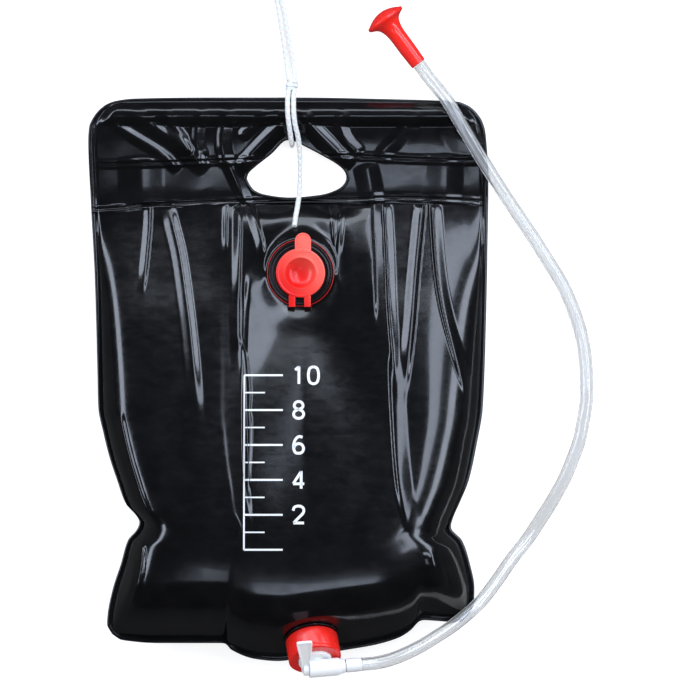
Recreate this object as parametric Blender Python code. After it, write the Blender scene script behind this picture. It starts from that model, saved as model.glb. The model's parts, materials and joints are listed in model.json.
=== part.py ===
"""Camp shower bag, filled and lying on its back.

A black film bag with a bar in its top hem, a filler with a tethered lid, an outlet with a screwed-on tap,
a clear hose with its spray head, and a hanging rope tied round the bar. X runs across the bag, Y up the bag
from the middle of its back, and Z up from the floor.
"""
import math

import bpy
import numpy as np
from mathutils import Matrix, Vector

MM = 0.001

# Fits
GAP = 0.3 * MM  # left between pieces that touch
RUNNING_GAP = 0.5 * MM  # between a screw and its nut, and round what moves
OVERRUN = 4 * MM  # how far a cutter passes the face that it cuts

# Facets round a turned piece
FINE_SIDES = 32
SIDES = 24
ROD_SIDES = 16
PORT_SIDES = 8

# Bag, as filled
BAG_WIDTH = 313 * MM
BAG_LENGTH = 440 * MM
WALL = 0.6 * MM
SEAM_WIDTH = 3.6 * MM
SEAM_HEIGHT = 30 * MM
CROWN_HEIGHT = 84 * MM
BACK_CURVE = 45 * MM
HEM_ARCH = 3 * MM
UPPER_WELD_DROP = 49 * MM
LOWER_WELD_DROP = 83.5 * MM
COLUMN_STEP_SHARE = 0.12
MIDDLE_STEP_SHARE = 0.09
CROWN_POWER = 2.6
CROWN_ROUNDNESS = 0.62

# Hanger bar
BAR_DIAMETER = 11 * MM
BAR_CHAMFER = 0.8 * MM
BAR_END_ROOM = 3.5 * MM
BAR_INSET = 18 * MM  # from the bag's side to the bar's end
HEM_SEAM = 1.7 * MM
HEM_POINT_SHARE = 1.3  # where the films meet above and below the bar, in the hem's radii

# Handle hole
HOLE_X = 6.4 * MM
HOLE_WIDTH = 81 * MM
HOLE_LINE_DROP = 63.5 * MM
HOLE_RISE = 31.5 * MM
HOLE_FALL = 15.8 * MM
HOLE_END_SHARE = 0.045
HOLE_PEAK_SHARE = 0.44

# Filler
FILLER_X = 9.6 * MM
FILLER_DROP = 137.3 * MM
FILLER_HEIGHT = 24 * MM
NECK_BORE_RADIUS = 13.4 * MM
NECK_WALL = 1.6 * MM
NECK_DEPTH = 8 * MM
FLANGE_RADIUS = 25 * MM
FLANGE_THICKNESS = 1.2 * MM
RIM_WIDTH = 1.8 * MM
RIM_HEIGHT = 1.1 * MM
COLLAR_HEIGHT = 2.7 * MM
COLLAR_WALL = 2.8 * MM
TETHER_WIDTH = 1.1 * MM
TETHER_HEIGHT = 1.2 * MM
PAD_WIDTH = 5.6 * MM

# Filler lid
LID_RADIUS = 19.2 * MM
LID_THICKNESS = 1.7 * MM
LID_EDGE = 0.4 * MM
PLUG_TAPER = 1.3 * MM
PLUG_DEPTH = 8.4 * MM
PLUG_FLOOR = 1.4 * MM
PLUG_WALL = 1.1 * MM
STRAP_THICKNESS = 1.4 * MM
STRAP_WIDTH = 5.2 * MM
STRAP_SPREAD = 12 * MM
STRAP_X = -0.6 * MM
TAB_WIDTH = 12.7 * MM
TAB_REACH = 31.4 * MM
TAB_X = 1.9 * MM

# Outlet spout, measured along its axis from the bag's face
OUTLET_X = 18 * MM
OUTLET_TO_SEAM = 15.2 * MM
OUTLET_TILT = math.radians(58)
SPOUT_FLANGE_RADIUS = 21.5 * MM
SPOUT_FLANGE_THICKNESS = 1 * MM
SPOUT_INSIDE = 4 * MM
SPOUT_BORE_RADIUS = 12.4 * MM
SPOUT_NECK_RADIUS = 14.9 * MM
SPOUT_LENGTH = 13 * MM
THREAD_DEPTH = 0.9 * MM
THREAD_PITCH = 4 * MM
THREAD_START = 2.6 * MM
THREAD_RUNOUT = 1 * MM
THREAD_STEPS = 5
GASKET_THICKNESS = 1.5 * MM

# Union nut
NUT_RADIUS = 20.5 * MM
NUT_LENGTH = 19 * MM
NUT_LIP = 3 * MM
NUT_CHAMFER = 1 * MM

# Tap
TAP_TWIST = math.radians(-9.7)
TAP_FLANGE_THICKNESS = 2.5 * MM
TAP_COLLAR_RADIUS = 13 * MM
TAP_COLLAR_RISE = 2 * MM
BARREL_RISE = 7.5 * MM
BARREL_RADIUS = 6.3 * MM
BARREL_LEFT = 6 * MM
BARREL_RIGHT = 22 * MM
PLUG_BORE_RADIUS = 4.6 * MM
PLUG_BORE_RIGHT = 9 * MM
WATERWAY_RADIUS = 2.8 * MM
BARB_LENGTH = 13 * MM
BARB_RADIUS = 3.6 * MM
BARB_RIDGE = 0.5 * MM
BARB_RIDGES = 3

# Tap plug and lever
SEAL_WIDTH = 1 * MM
SEAL_THICKNESS = 0.6 * MM
LEVER_HUB = 4.3 * MM
LEVER_LENGTH = 31.5 * MM
LEVER_THICKNESS = 2.4 * MM
LEVER_TIP_WIDTH = 12 * MM
LEVER_LEAN = math.radians(12)

# Hose and spray head
HOSE_DIAMETER = 10.2 * MM
HEAD_RADIUS = 16 * MM
HEAD_LENGTH = 45 * MM
HEAD_LIP = 2.2 * MM
HEAD_NECK_RADIUS = 6.6 * MM
HEAD_END_RADIUS = 6.1 * MM
HEAD_SOCKET_DEPTH = 12 * MM
HEAD_BORE_RADIUS = 3.6 * MM
HEAD_SEAT_DEPTH = 1.4 * MM
HEAD_WALL = 1.2 * MM
HEAD_TURN = math.radians(-53.3)
HEAD_X = 74.9 * MM
HEAD_Y = 282.4 * MM
ROSE_DOME = 4.9 * MM
ROSE_THICKNESS = 1.2 * MM
ROSE_HOLE_RADIUS = 0.9 * MM
ROSE_HOLE_PITCH = 5 * MM
ROSE_RINGS = 2

# Rope
ROPE_DIAMETER = 4 * MM
KNOT_RADIUS = 5.2 * MM
KNOT_LENGTH = 11 * MM

# Outline of the filled bag: shares of its length up from the bottom, and of its width in from the side
LEFT_EDGE_SHARES = (
    (0.048, 0.061), (0.066, 0.0486), (0.087, 0.0511), (0.129, 0.0635), (0.172, 0.0834), (0.2145, 0.101),
    (0.232, 0.123), (0.2465, 0.1308), (0.261, 0.118), (0.278, 0.096), (0.321, 0.0735), (0.3635, 0.0535),
    (0.406, 0.0386), (0.4486, 0.0262), (0.5124, 0.0237), (0.6826, 0.0162), (0.81, 0.0062), (0.924, 0),
    (0.9486, 0.0025), (0.963, 0.0112), (0.9734, 0.0212), (0.9805, 0.0311), (0.9876, 0.0436),
)
RIGHT_EDGE_SHARES = (
    (0.0833, 0.0473), (0.1046, 0.0374), (0.1294, 0.0361), (0.172, 0.0473), (0.2145, 0.0672), (0.225, 0.0822),
    (0.2358, 0.0959), (0.2535, 0.0897), (0.278, 0.0747), (0.321, 0.0498), (0.385, 0.03), (0.4486, 0.0149),
    (0.576, 0.0075), (0.725, 0.0025), (0.853, 0), (0.938, 0.0075), (0.959, 0.0162), (0.9734, 0.0299),
    (0.9805, 0.04), (0.9858, 0.05),
)
# Top and bottom edges: shares of the way across, and of the bag's length down or up
TOP_EDGE_SHARES = (
    (0, 0.0124), (0.025, 0.0062), (0.08, 0.0018), (0.277, 0), (0.536, 0), (0.772, 0.0027), (0.97, 0.0071),
    (1, 0.0142),
)
BOTTOM_EDGE_SHARES = (
    (0, 0.0479), (0.028, 0.0372), (0.128, 0.0319), (0.316, 0.0319), (0.332, 0.0204), (0.402, 0.0035),
    (0.464, 0), (0.561, 0.0098), (0.651, 0.0195), (0.732, 0.0284), (0.799, 0.0408), (0.832, 0.0532),
    (0.866, 0.0727), (0.933, 0.07), (0.972, 0.069), (1, 0.0833),
)
# Height of the seam and of the front's crown: shares of the body's length up from the bottom seam, of the
# seam's height at the bottom, and of the crown's height
BODY_SHARES = (
    (0.0785, 1, 0.821), (0.112, 1, 0.929), (0.154, 1, 0.988), (0.21, 0.985, 1), (0.3, 0.93, 0.964),
    (0.42, 0.82, 0.857), (0.53, 0.69, 0.73), (0.64, 0.54, 0.585), (0.75, 0.375, 0.425), (0.84, 0.25, 0.292),
    (0.92, 0.13, 0.21), (0.965, 0.06, 0.14),
)
# Extra rows of the front, where the sides pinch in and over the outlet
FRONT_ROW_SHARES = (0.03, 0.054, 0.255, 0.275, 0.34)
BACK_ROW_SHARES = (0.03, 0.06, 0.135)
# Rows of the band between the hem and the lower weld
BAND_ROW_SHARES = (0.18, 0.52, 0.72, 0.88)
# Edge of the handle hole: shares of its width, and of its rise above or fall below the slit
HOLE_TOP_SHARES = (
    (0, 0), (0.015, 0.14), (0.08, 0.31), (0.245, 0.645), (0.405, 1), (0.49, 0.97), (0.57, 0.865), (0.755, 0.615),
    (0.93, 0.34), (0.993, 0.14), (1, 0),
)
HOLE_BOTTOM_SHARES = (
    (0, 0), (0.03, 0.3), (0.08, 0.62), (0.19, 0.85), (0.43, 1), (0.73, 0.87), (0.905, 0.58), (0.98, 0.25), (1, 0),
)

# Routes of the cords, centre line, millimetres
HOSE_ROUTE_MM = (
    (57.3, -221.5, 59.1), (67.7, -220.6, 57.6), (79.4, -218.0, 55.8), (91.1, -213.5, 53.8),
    (102.8, -207.9, 51.0), (114.5, -200.9, 47.8), (126.2, -193.4, 44.2), (137.9, -184.5, 40.4),
    (150.3, -173.2, 35.0), (162.8, -157.6, 24.6), (174.5, -141.2, 14.4), (187.0, -125.6, 7.8),
    (197.5, -110.0, 5.6), (207.3, -94.4, 5.3), (215.9, -78.8, 5.3), (222.5, -63.2, 5.3), (228.0, -47.6, 5.3),
    (231.1, -32.0, 5.3), (233.4, -16.4, 5.3), (233.4, -0.8, 5.3), (232.6, 14.8, 5.3), (230.3, 30.4, 5.3),
    (226.0, 46.0, 5.3), (220.2, 61.6, 5.3), (212.7, 77.2, 5.3), (203.0, 92.8, 5.4), (193.2, 108.4, 5.8),
    (182.7, 124.0, 6.6), (172.2, 139.6, 8.4), (162.0, 155.2, 11.6), (152.0, 170.8, 15.6),
    (142.5, 186.4, 20.0), (133.2, 202.0, 24.0), (124.0, 217.6, 23.6), (115.0, 229.2, 19.2),
    (107.0, 239.3, 16.3), (102.0, 246.1, 16.3), (98.4, 250.9, 16.3), (94.8, 255.7, 16.3),
)
ROPE_LOOP_MM = (
    (0.4, 233.4, 6.6), (-1.2, 245.0, 2.6), (-4.0, 265.0, 2.3), (-7.6, 288.0, 2.3), (-10.4, 300.0, 2.3),
    (-15.6, 312.0, 2.3), (-17.0, 321.0, 2.3), (-13.0, 328.6, 2.3), (-6.0, 331.0, 2.3), (1.4, 327.8, 2.3),
    (4.4, 320.0, 2.3), (1.2, 311.0, 2.3), (-5.4, 299.6, 2.3), (-3.0, 288.0, 2.3), (0.8, 265.0, 2.3),
    (4.2, 245.0, 2.6), (5.2, 233.4, 6.6),
)
ROPE_WRAP_MM = (
    (0.2, 225.6, 16.4), (-0.4, 220.6, 20.4), (-0.5, 214.0, 21.6), (-0.3, 206.0, 21.6), (0.6, 198.4, 19.8),
    (1.6, 191.6, 16.8), (2.4, 185.2, 13.0), (2.8, 182.8, 8.2), (2.8, 184.6, 4.4), (2.7, 189.6, 2.6),
    (2.6, 197.0, 2.3), (2.6, 206.0, 2.3), (2.6, 215.0, 2.3), (2.6, 220.6, 2.6), (2.6, 225.4, 4.4),
)
ROPE_TAIL_MM = (
    (5.0, 225.6, 16.4), (4.2, 220.6, 20.4), (4.1, 214.0, 21.6), (4.4, 206.0, 21.6), (5.4, 198.4, 19.8),
    (7.6, 189.0, 15.8), (8.9, 178.0, 11.8), (9.2, 166.0, 8.6), (9.0, 154.0, 6.6), (8.4, 144.0, 6.4),
    (7.0, 134.0, 8.6), (5.6, 126.0, 14.8), (4.9, 119.4, 19.2),
)

TOP = BAG_LENGTH / 2
BODY_LENGTH = BAG_LENGTH - LOWER_WELD_DROP
SKIN = (WALL + GAP) / 2  # from the seam's plane to the middle of each film
HEM_RADIUS = BAR_DIAMETER / 2 + RUNNING_GAP + WALL / 2
HEM_LIFT = ROPE_DIAMETER + 2 * GAP  # the rope passes under the hem
BAR_HEIGHT = HEM_LIFT + WALL / 2 + HEM_RADIUS
BAR_Y = TOP - HEM_ARCH - HEM_SEAM - HEM_RADIUS * HEM_POINT_SHARE
HEM_FOOT = BAR_Y - HEM_RADIUS * HEM_POINT_SHARE
HEM_TOP = BAR_Y + HEM_RADIUS * HEM_POINT_SHARE
UPPER_WELD_Y = TOP - UPPER_WELD_DROP
HOLE_Y = TOP - HOLE_LINE_DROP
LOWER_WELD_Y = TOP - LOWER_WELD_DROP
WELD_HEIGHT = WALL / 2 + SKIN
FILLER_Y = TOP - FILLER_DROP
FILLER_SEAT = FLANGE_RADIUS + TETHER_WIDTH + 2 * GAP
OUTLET_SEAT = SPOUT_FLANGE_RADIUS + GAP
OUTLET_ROOM = SPOUT_FLANGE_RADIUS * 1.13


def smooth(table, at):
    """The height at `at` of a curve through the table's pairs, which doesn't overshoot them."""
    across, up = np.array(table, float).T
    slopes = np.diff(up) / np.diff(across)
    before, after = slopes[:-1], slopes[1:]
    steady = before * after > 0
    inner = np.divide(2 * before * after, before + after, out=np.zeros(len(before)), where=steady)
    tangents = np.concatenate([slopes[:1], inner, slopes[-1:]])
    at = np.clip(at, across[0], across[-1])
    cell = np.clip(np.searchsorted(across, at, side="right") - 1, 0, len(slopes) - 1)
    width = np.diff(across)[cell]
    t = (at - across[cell]) / width
    rise = up[cell] * (1 - t) ** 2 * (1 + 2 * t) + up[cell + 1] * t**2 * (3 - 2 * t)
    return rise + width * (tangents[cell] * t * (1 - t) ** 2 - tangents[cell + 1] * t**2 * (1 - t))


def ease(t):
    t = np.clip(t, 0, 1)
    return t * t * (3 - 2 * t)


def side_edges(y):
    """X of the bag's left and right edges at height y."""
    share = y / BAG_LENGTH + 1 / 2
    left = -BAG_WIDTH / 2 + BAG_WIDTH * smooth(LEFT_EDGE_SHARES, share)
    right = BAG_WIDTH / 2 - BAG_WIDTH * smooth(RIGHT_EDGE_SHARES, share)
    return left, right


def share_across(x, y):
    """Where x lies at height y, from -1 at the left edge to 1 at the right."""
    left, right = side_edges(y)
    return (2 * x - left - right) / (right - left)


def body_share(y):
    return np.clip((y + TOP) / BODY_LENGTH, 0, 1)


def grid_point(y, across):
    """X and Y of the points of a row: the top and bottom rows follow the bag's edges, the rest straighten."""
    margin = body_share(SEAM_WIDTH - TOP)
    low = np.clip((1 - body_share(y)) / (1 - margin), 0, 1) ** 2
    high = max((y - BAR_Y) / (TOP - BAR_Y), 0) ** 2
    way = (across + 1) / 2
    rise = low * BAG_LENGTH * smooth(BOTTOM_EDGE_SHARES, way)
    drop = high * BAG_LENGTH * smooth(TOP_EDGE_SHARES, way)
    ys = y + rise - drop
    left = side_edges(ys[0])[0]
    right = side_edges(ys[-1])[1]
    return left + (right - left) * way, ys


def band_height(ys):
    """Height of the welded films between the lower weld, which lies flat, and the lifted hem."""
    return WELD_HEIGHT + (BAR_HEIGHT - WELD_HEIGHT) * ease((ys - LOWER_WELD_Y) / (HEM_FOOT - LOWER_WELD_Y))


def seam_height(y):
    """Height of the seam's plane below the lower weld."""
    shares = [row[0] for row in BODY_SHARES]
    heights = [row[1] * SEAM_HEIGHT for row in BODY_SHARES]
    return np.interp(body_share(y), [0] + shares + [1], [SEAM_HEIGHT] + heights + [WELD_HEIGHT])


def crown_height(y):
    share = body_share(y)
    margin = (body_share(SEAM_WIDTH - TOP), (SEAM_HEIGHT + SKIN) / CROWN_HEIGHT)
    weld = (1, (WELD_HEIGHT + SKIN) / CROWN_HEIGHT)
    table = [margin] + [(row[0], row[2]) for row in BODY_SHARES] + [weld]
    return CROWN_HEIGHT * smooth(table, share)


def margin_share():
    return 1 - 2 * SEAM_WIDTH / BAG_WIDTH


def bottom_edge(x):
    """Y of the bag's bottom edge at x."""
    left = side_edges(BAG_LENGTH * BOTTOM_EDGE_SHARES[0][1] - TOP)[0]
    right = side_edges(BAG_LENGTH * BOTTOM_EDGE_SHARES[-1][1] - TOP)[1]
    return BAG_LENGTH * smooth(BOTTOM_EDGE_SHARES, (x - left) / (right - left)) - TOP


def outlet_turn():
    """How far the seam, and the outlet with it, is turned about Z."""
    rise = bottom_edge(OUTLET_X + OUTLET_SEAT) - bottom_edge(OUTLET_X - OUTLET_SEAT)
    return math.atan2(rise, 2 * OUTLET_SEAT)


def outlet_frame():
    """Axes of the outlet: X along the seam, Z out along the spout, at the film's outer face."""
    turn = Matrix.Rotation(outlet_turn(), 4, "Z") @ Matrix.Rotation(OUTLET_TILT, 4, "X")
    height = SEAM_HEIGHT + SKIN + (OUTLET_TO_SEAM - SEAM_WIDTH) * math.tan(OUTLET_TILT)
    place = Vector((OUTLET_X, bottom_edge(OUTLET_X) + OUTLET_TO_SEAM / math.cos(outlet_turn()), height))
    return Matrix.Translation(place + turn.to_3x3() @ Vector((0, 0, WALL / 2))) @ turn


def outlet_plane(x, y):
    """Height of the film's middle on the flat round the outlet."""
    frame = outlet_frame()
    axis = frame.col[2].to_3d()
    place = frame.translation - axis * WALL / 2
    return place.z - (axis.x * (x - place.x) + axis.y * (y - place.y)) / axis.z


def columns():
    """Places across the bag that the grids share, from -1 to 1."""
    place = outlet_frame().translation
    wanted = [share_across(HOLE_X + side * HOLE_WIDTH / 2, HOLE_Y) for side in (-1, 1)]
    for share in (HOLE_END_SHARE, HOLE_PEAK_SHARE):
        wanted.append(share_across(HOLE_X + HOLE_WIDTH * (share - 1 / 2), HOLE_Y))
    wanted += [share_across(FILLER_X + side * FILLER_SEAT, FILLER_Y) for side in (-1, 1)]
    wanted += [share_across(place.x + side * OUTLET_SEAT, place.y) for side in (-1, 1)]
    wanted.sort()
    left, right = side_edges(BAR_Y)
    end = 1 - 2 * (BAR_INSET - BAR_END_ROOM) / (right - left)
    margin = margin_share()
    found = [-1, -margin] + fill([-end, wanted[0]], COLUMN_STEP_SHARE) + fill(wanted, MIDDLE_STEP_SHARE)[1:]
    return np.array(found + fill([wanted[-1], end], COLUMN_STEP_SHARE)[1:] + [margin, 1])


def fill(stops, step):
    """The stops, with even places between two that lie further apart than the step."""
    found = [stops[0]]
    for low, high in zip(stops, stops[1:]):
        count = max(1, math.ceil((high - low) / step))
        found += [low + (high - low) * n / count for n in range(1, count + 1)]
    return found


def rows(extra_shares, seats):
    """Heights of a grid's rows from the bottom edge to the top, in the middle of the bag."""
    body = [row[0] for row in BODY_SHARES] + list(extra_shares)
    found = [-TOP, SEAM_WIDTH - TOP] + [share * BODY_LENGTH - TOP for share in body] + seats
    found += [LOWER_WELD_Y + share * (HEM_FOOT - LOWER_WELD_Y) for share in BAND_ROW_SHARES]
    found += [LOWER_WELD_Y, HOLE_Y, UPPER_WELD_Y, TOP]
    shares = (HEM_POINT_SHARE, 1 / HEM_POINT_SHARE, 1 / HEM_POINT_SHARE / 2)
    found += [BAR_Y + side * share * HEM_RADIUS for share in shares for side in (-1, 1)] + [BAR_Y]
    return sorted(set(found))


def open_hole(y, xs, ys, above):
    """Y of a row's points once the slit at the hole's line is drawn open."""
    if not LOWER_WELD_Y <= y <= HEM_FOOT:
        return ys
    way = np.clip((xs - HOLE_X) / HOLE_WIDTH + 1 / 2, 0, 1)
    if y > HOLE_Y or (y == HOLE_Y and above):
        rise = HOLE_RISE * smooth(HOLE_TOP_SHARES, way)
        return HEM_FOOT - (HEM_FOOT - ys) * (HEM_FOOT - HOLE_Y - rise) / (HEM_FOOT - HOLE_Y)
    fall = HOLE_FALL * smooth(HOLE_BOTTOM_SHARES, way)
    return LOWER_WELD_Y + (ys - LOWER_WELD_Y) * (HOLE_Y - LOWER_WELD_Y - fall) / (HOLE_Y - LOWER_WELD_Y)


def hem_bulge(y, across):
    """How far each film stands off the seam's plane where it goes round the bar."""
    away = abs(y - BAR_Y)
    reach = max(HEM_RADIUS**2 - away**2, 0) ** (1 / 2)
    if away > HEM_RADIUS / HEM_POINT_SHARE:
        slope = 1 / (HEM_POINT_SHARE**2 - 1) ** (1 / 2)
        reach = (HEM_RADIUS * HEM_POINT_SHARE - away) * slope
    inside = np.abs(across) < margin_share() - GAP / BAG_WIDTH
    return np.where(inside, max(reach, SKIN), SKIN)


def front_height(y, across, xs, ys):
    if y >= LOWER_WELD_Y:
        return band_height(ys) + hem_bulge(y, across)
    rim = seam_height(y) + SKIN
    shape = np.clip(1 - (np.abs(across) / margin_share()) ** CROWN_POWER, 0, 1) ** CROWN_ROUNDNESS
    shape = np.where(y > SEAM_WIDTH - TOP, shape, 0)
    found = rim + (crown_height(y) - rim) * shape
    reach = (FILLER_SEAT + GAP, FILLER_SEAT + GAP)
    on_filler = (np.abs(xs - FILLER_X) < reach[0]) & (np.abs(ys - FILLER_Y) < reach[1])
    found = np.where(on_filler, FILLER_HEIGHT, found)
    place = outlet_frame().translation
    upward = (ys - place.y) * math.cos(outlet_turn()) - (xs - place.x) * math.sin(outlet_turn())
    near = (np.abs(xs - place.x) < OUTLET_SEAT + 4 * GAP) & (upward < OUTLET_ROOM * math.cos(OUTLET_TILT))
    return np.where(near & (y > SEAM_WIDTH - TOP), outlet_plane(xs, ys), found)


def back_height(y, across, xs, ys):
    if y >= LOWER_WELD_Y:
        return band_height(ys) - hem_bulge(y, across)
    rim = seam_height(y) - SKIN
    half = BAG_WIDTH / 2
    inward = np.minimum((margin_share() - np.abs(across)) * half, y + TOP - SEAM_WIDTH)
    return rim - (rim - WALL / 2) * ease(inward / BACK_CURVE)


def paint(name, colour, roughness, metallic=0, alpha=1):
    """A Principled material."""
    found = bpy.data.materials.new(name)
    found.use_nodes = True
    shader = found.node_tree.nodes["Principled BSDF"]
    shader.inputs["Base Color"].default_value = (*colour, 1)
    shader.inputs["Roughness"].default_value = roughness
    shader.inputs["Metallic"].default_value = metallic
    shader.inputs["Alpha"].default_value = alpha
    return found


def put(name, points, faces, frame, material):
    """An object of these points, given in the frame's own axes."""
    mesh = bpy.data.meshes.new(name)
    mesh.from_pydata([tuple(point) for point in points], [], faces)
    mesh.update()
    mesh.shade_smooth()
    mesh.set_sharp_from_angle(angle=math.radians(35))
    obj = bpy.data.objects.new(name, mesh)
    obj.matrix_world = frame
    bpy.context.scene.collection.objects.link(obj)
    if material:
        mesh.materials.append(material)
    return obj


def turned(profile, sides, closed=False):
    """Points and faces of a profile of (radius, height) turned round Z, listed upwards on its outer side.

    A closed profile is a ring's section. An open one starts and ends on the axis."""
    points, loops = [], []
    for radius, height in profile:
        if radius <= 0:
            loops.append([len(points)])
            points.append((0, 0, height))
            continue
        loops.append(list(range(len(points), len(points) + sides)))
        turns = [2 * math.pi * n / sides for n in range(sides)]
        points += [(radius * math.cos(turn), radius * math.sin(turn), height) for turn in turns]
    faces = []
    pairs = list(zip(loops, loops[1:] + loops[:1])) if closed else list(zip(loops, loops[1:]))
    for low, high in pairs:
        for n in range(sides):
            m = (n + 1) % sides
            corners = [low[n % len(low)], low[m % len(low)], high[m % len(high)], high[n % len(high)]]
            faces.append(list(dict.fromkeys(corners)))
    return points, faces


def rod(radius, low, high, sides):
    return turned([(0, low), (radius, low), (radius, high), (0, high)], sides)


def prism(outline, low, high):
    """Points and faces of an outline of (x, y), listed anticlockwise, drawn up from low to high."""
    count = len(outline)
    points = [(x, y, low) for x, y in outline] + [(x, y, high) for x, y in outline]
    sides = [[n, (n + 1) % count, count + (n + 1) % count, count + n] for n in range(count)]
    return points, sides + [list(range(count))[::-1], list(range(count, 2 * count))]


def helper(name, shape, frame):
    obj = put(name, *shape, frame, None)
    obj.hide_render = True
    obj.display_type = "WIRE"
    return obj


def combine(obj, shape, frame, operation):
    """Cuts a shape from the object, or joins it on."""
    name = f"{obj.name}_{operation.lower()}_{len(obj.modifiers)}"
    modifier = obj.modifiers.new(name, "BOOLEAN")
    modifier.operation = operation
    modifier.object = helper(name, shape, frame)


def sheet(name, heights, row_list, material):
    """A film: a grid with the handle hole drawn open, thickened to the bag's wall."""
    across = columns()
    left, right = [share_across(HOLE_X + side * HOLE_WIDTH / 2, HOLE_Y) for side in (-1, 1)]
    slack = GAP / BAG_WIDTH
    inside = (across > left + slack) & (across < right - slack)
    points, index, upper = [], [], []
    for y in row_list:
        xs, ys = grid_point(y, across)
        index.append(np.arange(len(points), len(points) + len(across)))
        opened = open_hole(y, xs, ys, False)
        points += list(zip(xs, opened, heights(y, across, xs, opened)))
        upper.append(index[-1].copy())
        if y == HOLE_Y:
            upper[-1][inside] = np.arange(len(points), len(points) + inside.sum())
            opened = open_hole(y, xs, ys, True)
            points += list(zip(xs[inside], opened[inside], heights(y, across, xs, opened)[inside]))
    faces = []
    for low, high in zip(upper, index[1:]):
        for a, b, c, d in zip(low, low[1:], high[1:], high):
            faces += [[int(a), int(b), int(c)], [int(a), int(c), int(d)]]
    obj = put(name, points, faces, Matrix(), material)
    thickness = obj.modifiers.new("wall", "SOLIDIFY")
    thickness.thickness = WALL
    thickness.offset = 0
    thickness.use_even_offset = True
    return obj


def filler_frame():
    return Matrix.Translation((FILLER_X, FILLER_Y, FILLER_HEIGHT + WALL / 2))


def make_front_panel():
    film = paint("front_film", (0.012, 0.012, 0.014), 0.22)
    seats = [FILLER_Y - FILLER_SEAT, FILLER_Y, FILLER_Y + FILLER_SEAT]
    panel = sheet("front_panel", front_height, rows(FRONT_ROW_SHARES, seats), film)
    hole = rod(NECK_BORE_RADIUS + NECK_WALL + GAP, -NECK_DEPTH, NECK_DEPTH, SIDES)
    combine(panel, hole, filler_frame(), "DIFFERENCE")
    hole = rod(SPOUT_NECK_RADIUS + GAP, -OVERRUN, OVERRUN, SIDES)
    combine(panel, hole, outlet_frame(), "DIFFERENCE")


def make_back_panel():
    sheet("back_panel", back_height, rows(BACK_ROW_SHARES, []), paint("back_film", (0.012, 0.012, 0.014), 0.3))


def make_hanger_bar():
    left, right = side_edges(BAR_Y)
    radius, half = BAR_DIAMETER / 2, (right - left) / 2 - BAR_INSET
    profile = [(0, -half), (radius - BAR_CHAMFER, -half), (radius, BAR_CHAMFER - half)]
    profile += [(reach, -height) for reach, height in reversed(profile)]
    frame = Matrix.Translation(((left + right) / 2, BAR_Y, BAR_HEIGHT)) @ Matrix.Rotation(math.radians(90), 4, "Y")
    put("hanger_bar", *turned(profile, ROD_SIDES), frame, paint("bar", (0.75, 0.75, 0.73), 0.5))


def make_filler_neck():
    black = paint("filler_black", (0.015, 0.015, 0.016), 0.25)
    bore, neck = NECK_BORE_RADIUS, NECK_BORE_RADIUS + NECK_WALL
    foot, top = GAP, GAP + FLANGE_THICKNESS
    profile = [
        (bore, -NECK_DEPTH), (neck, -NECK_DEPTH), (neck, foot), (FLANGE_RADIUS, foot), (FLANGE_RADIUS, top),
        (FLANGE_RADIUS - RIM_WIDTH / 3, top + RIM_HEIGHT), (FLANGE_RADIUS - RIM_WIDTH * 2 / 3, top + RIM_HEIGHT),
        (FLANGE_RADIUS - RIM_WIDTH, top), (bore + COLLAR_WALL, top), (bore + COLLAR_WALL, GAP + COLLAR_HEIGHT),
        (bore, GAP + COLLAR_HEIGHT),
    ]
    put("filler_neck", *turned(profile, FINE_SIDES, closed=True), filler_frame(), black)


def hinge_height():
    """Height of the lid's hinge above the film's face."""
    return 2 * GAP + COLLAR_HEIGHT + LID_THICKNESS / 2


def hinge_reach():
    """Distance of the lid's hinge from the filler's centre."""
    return FLANGE_RADIUS + GAP + TETHER_WIDTH / 2


def strap_places():
    return [STRAP_X - STRAP_SPREAD / 2, STRAP_X + STRAP_SPREAD / 2]


def make_tether_ring():
    red = paint("tether_red", (0.8, 0.03, 0.02), 0.35)
    inner, outer = FLANGE_RADIUS + GAP, FLANGE_RADIUS + GAP + TETHER_WIDTH
    profile = [(inner, GAP), (outer, GAP), (outer, GAP + TETHER_HEIGHT), (inner, GAP + TETHER_HEIGHT)]
    ring = put("tether_ring", *turned(profile, FINE_SIDES, closed=True), filler_frame(), red)
    top = hinge_height() - STRAP_THICKNESS / 2 - GAP
    for x in strap_places():
        half, middle, low = PAD_WIDTH / 2, -(inner + outer) / 2, GAP + TETHER_HEIGHT / 2
        back, front = middle - TETHER_WIDTH * 0.45, middle + TETHER_WIDTH * 0.3
        outline = [(x - half, back), (x + half, back), (x + half, front), (x - half, front)]
        combine(ring, prism(outline, low, top), filler_frame(), "UNION")


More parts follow.
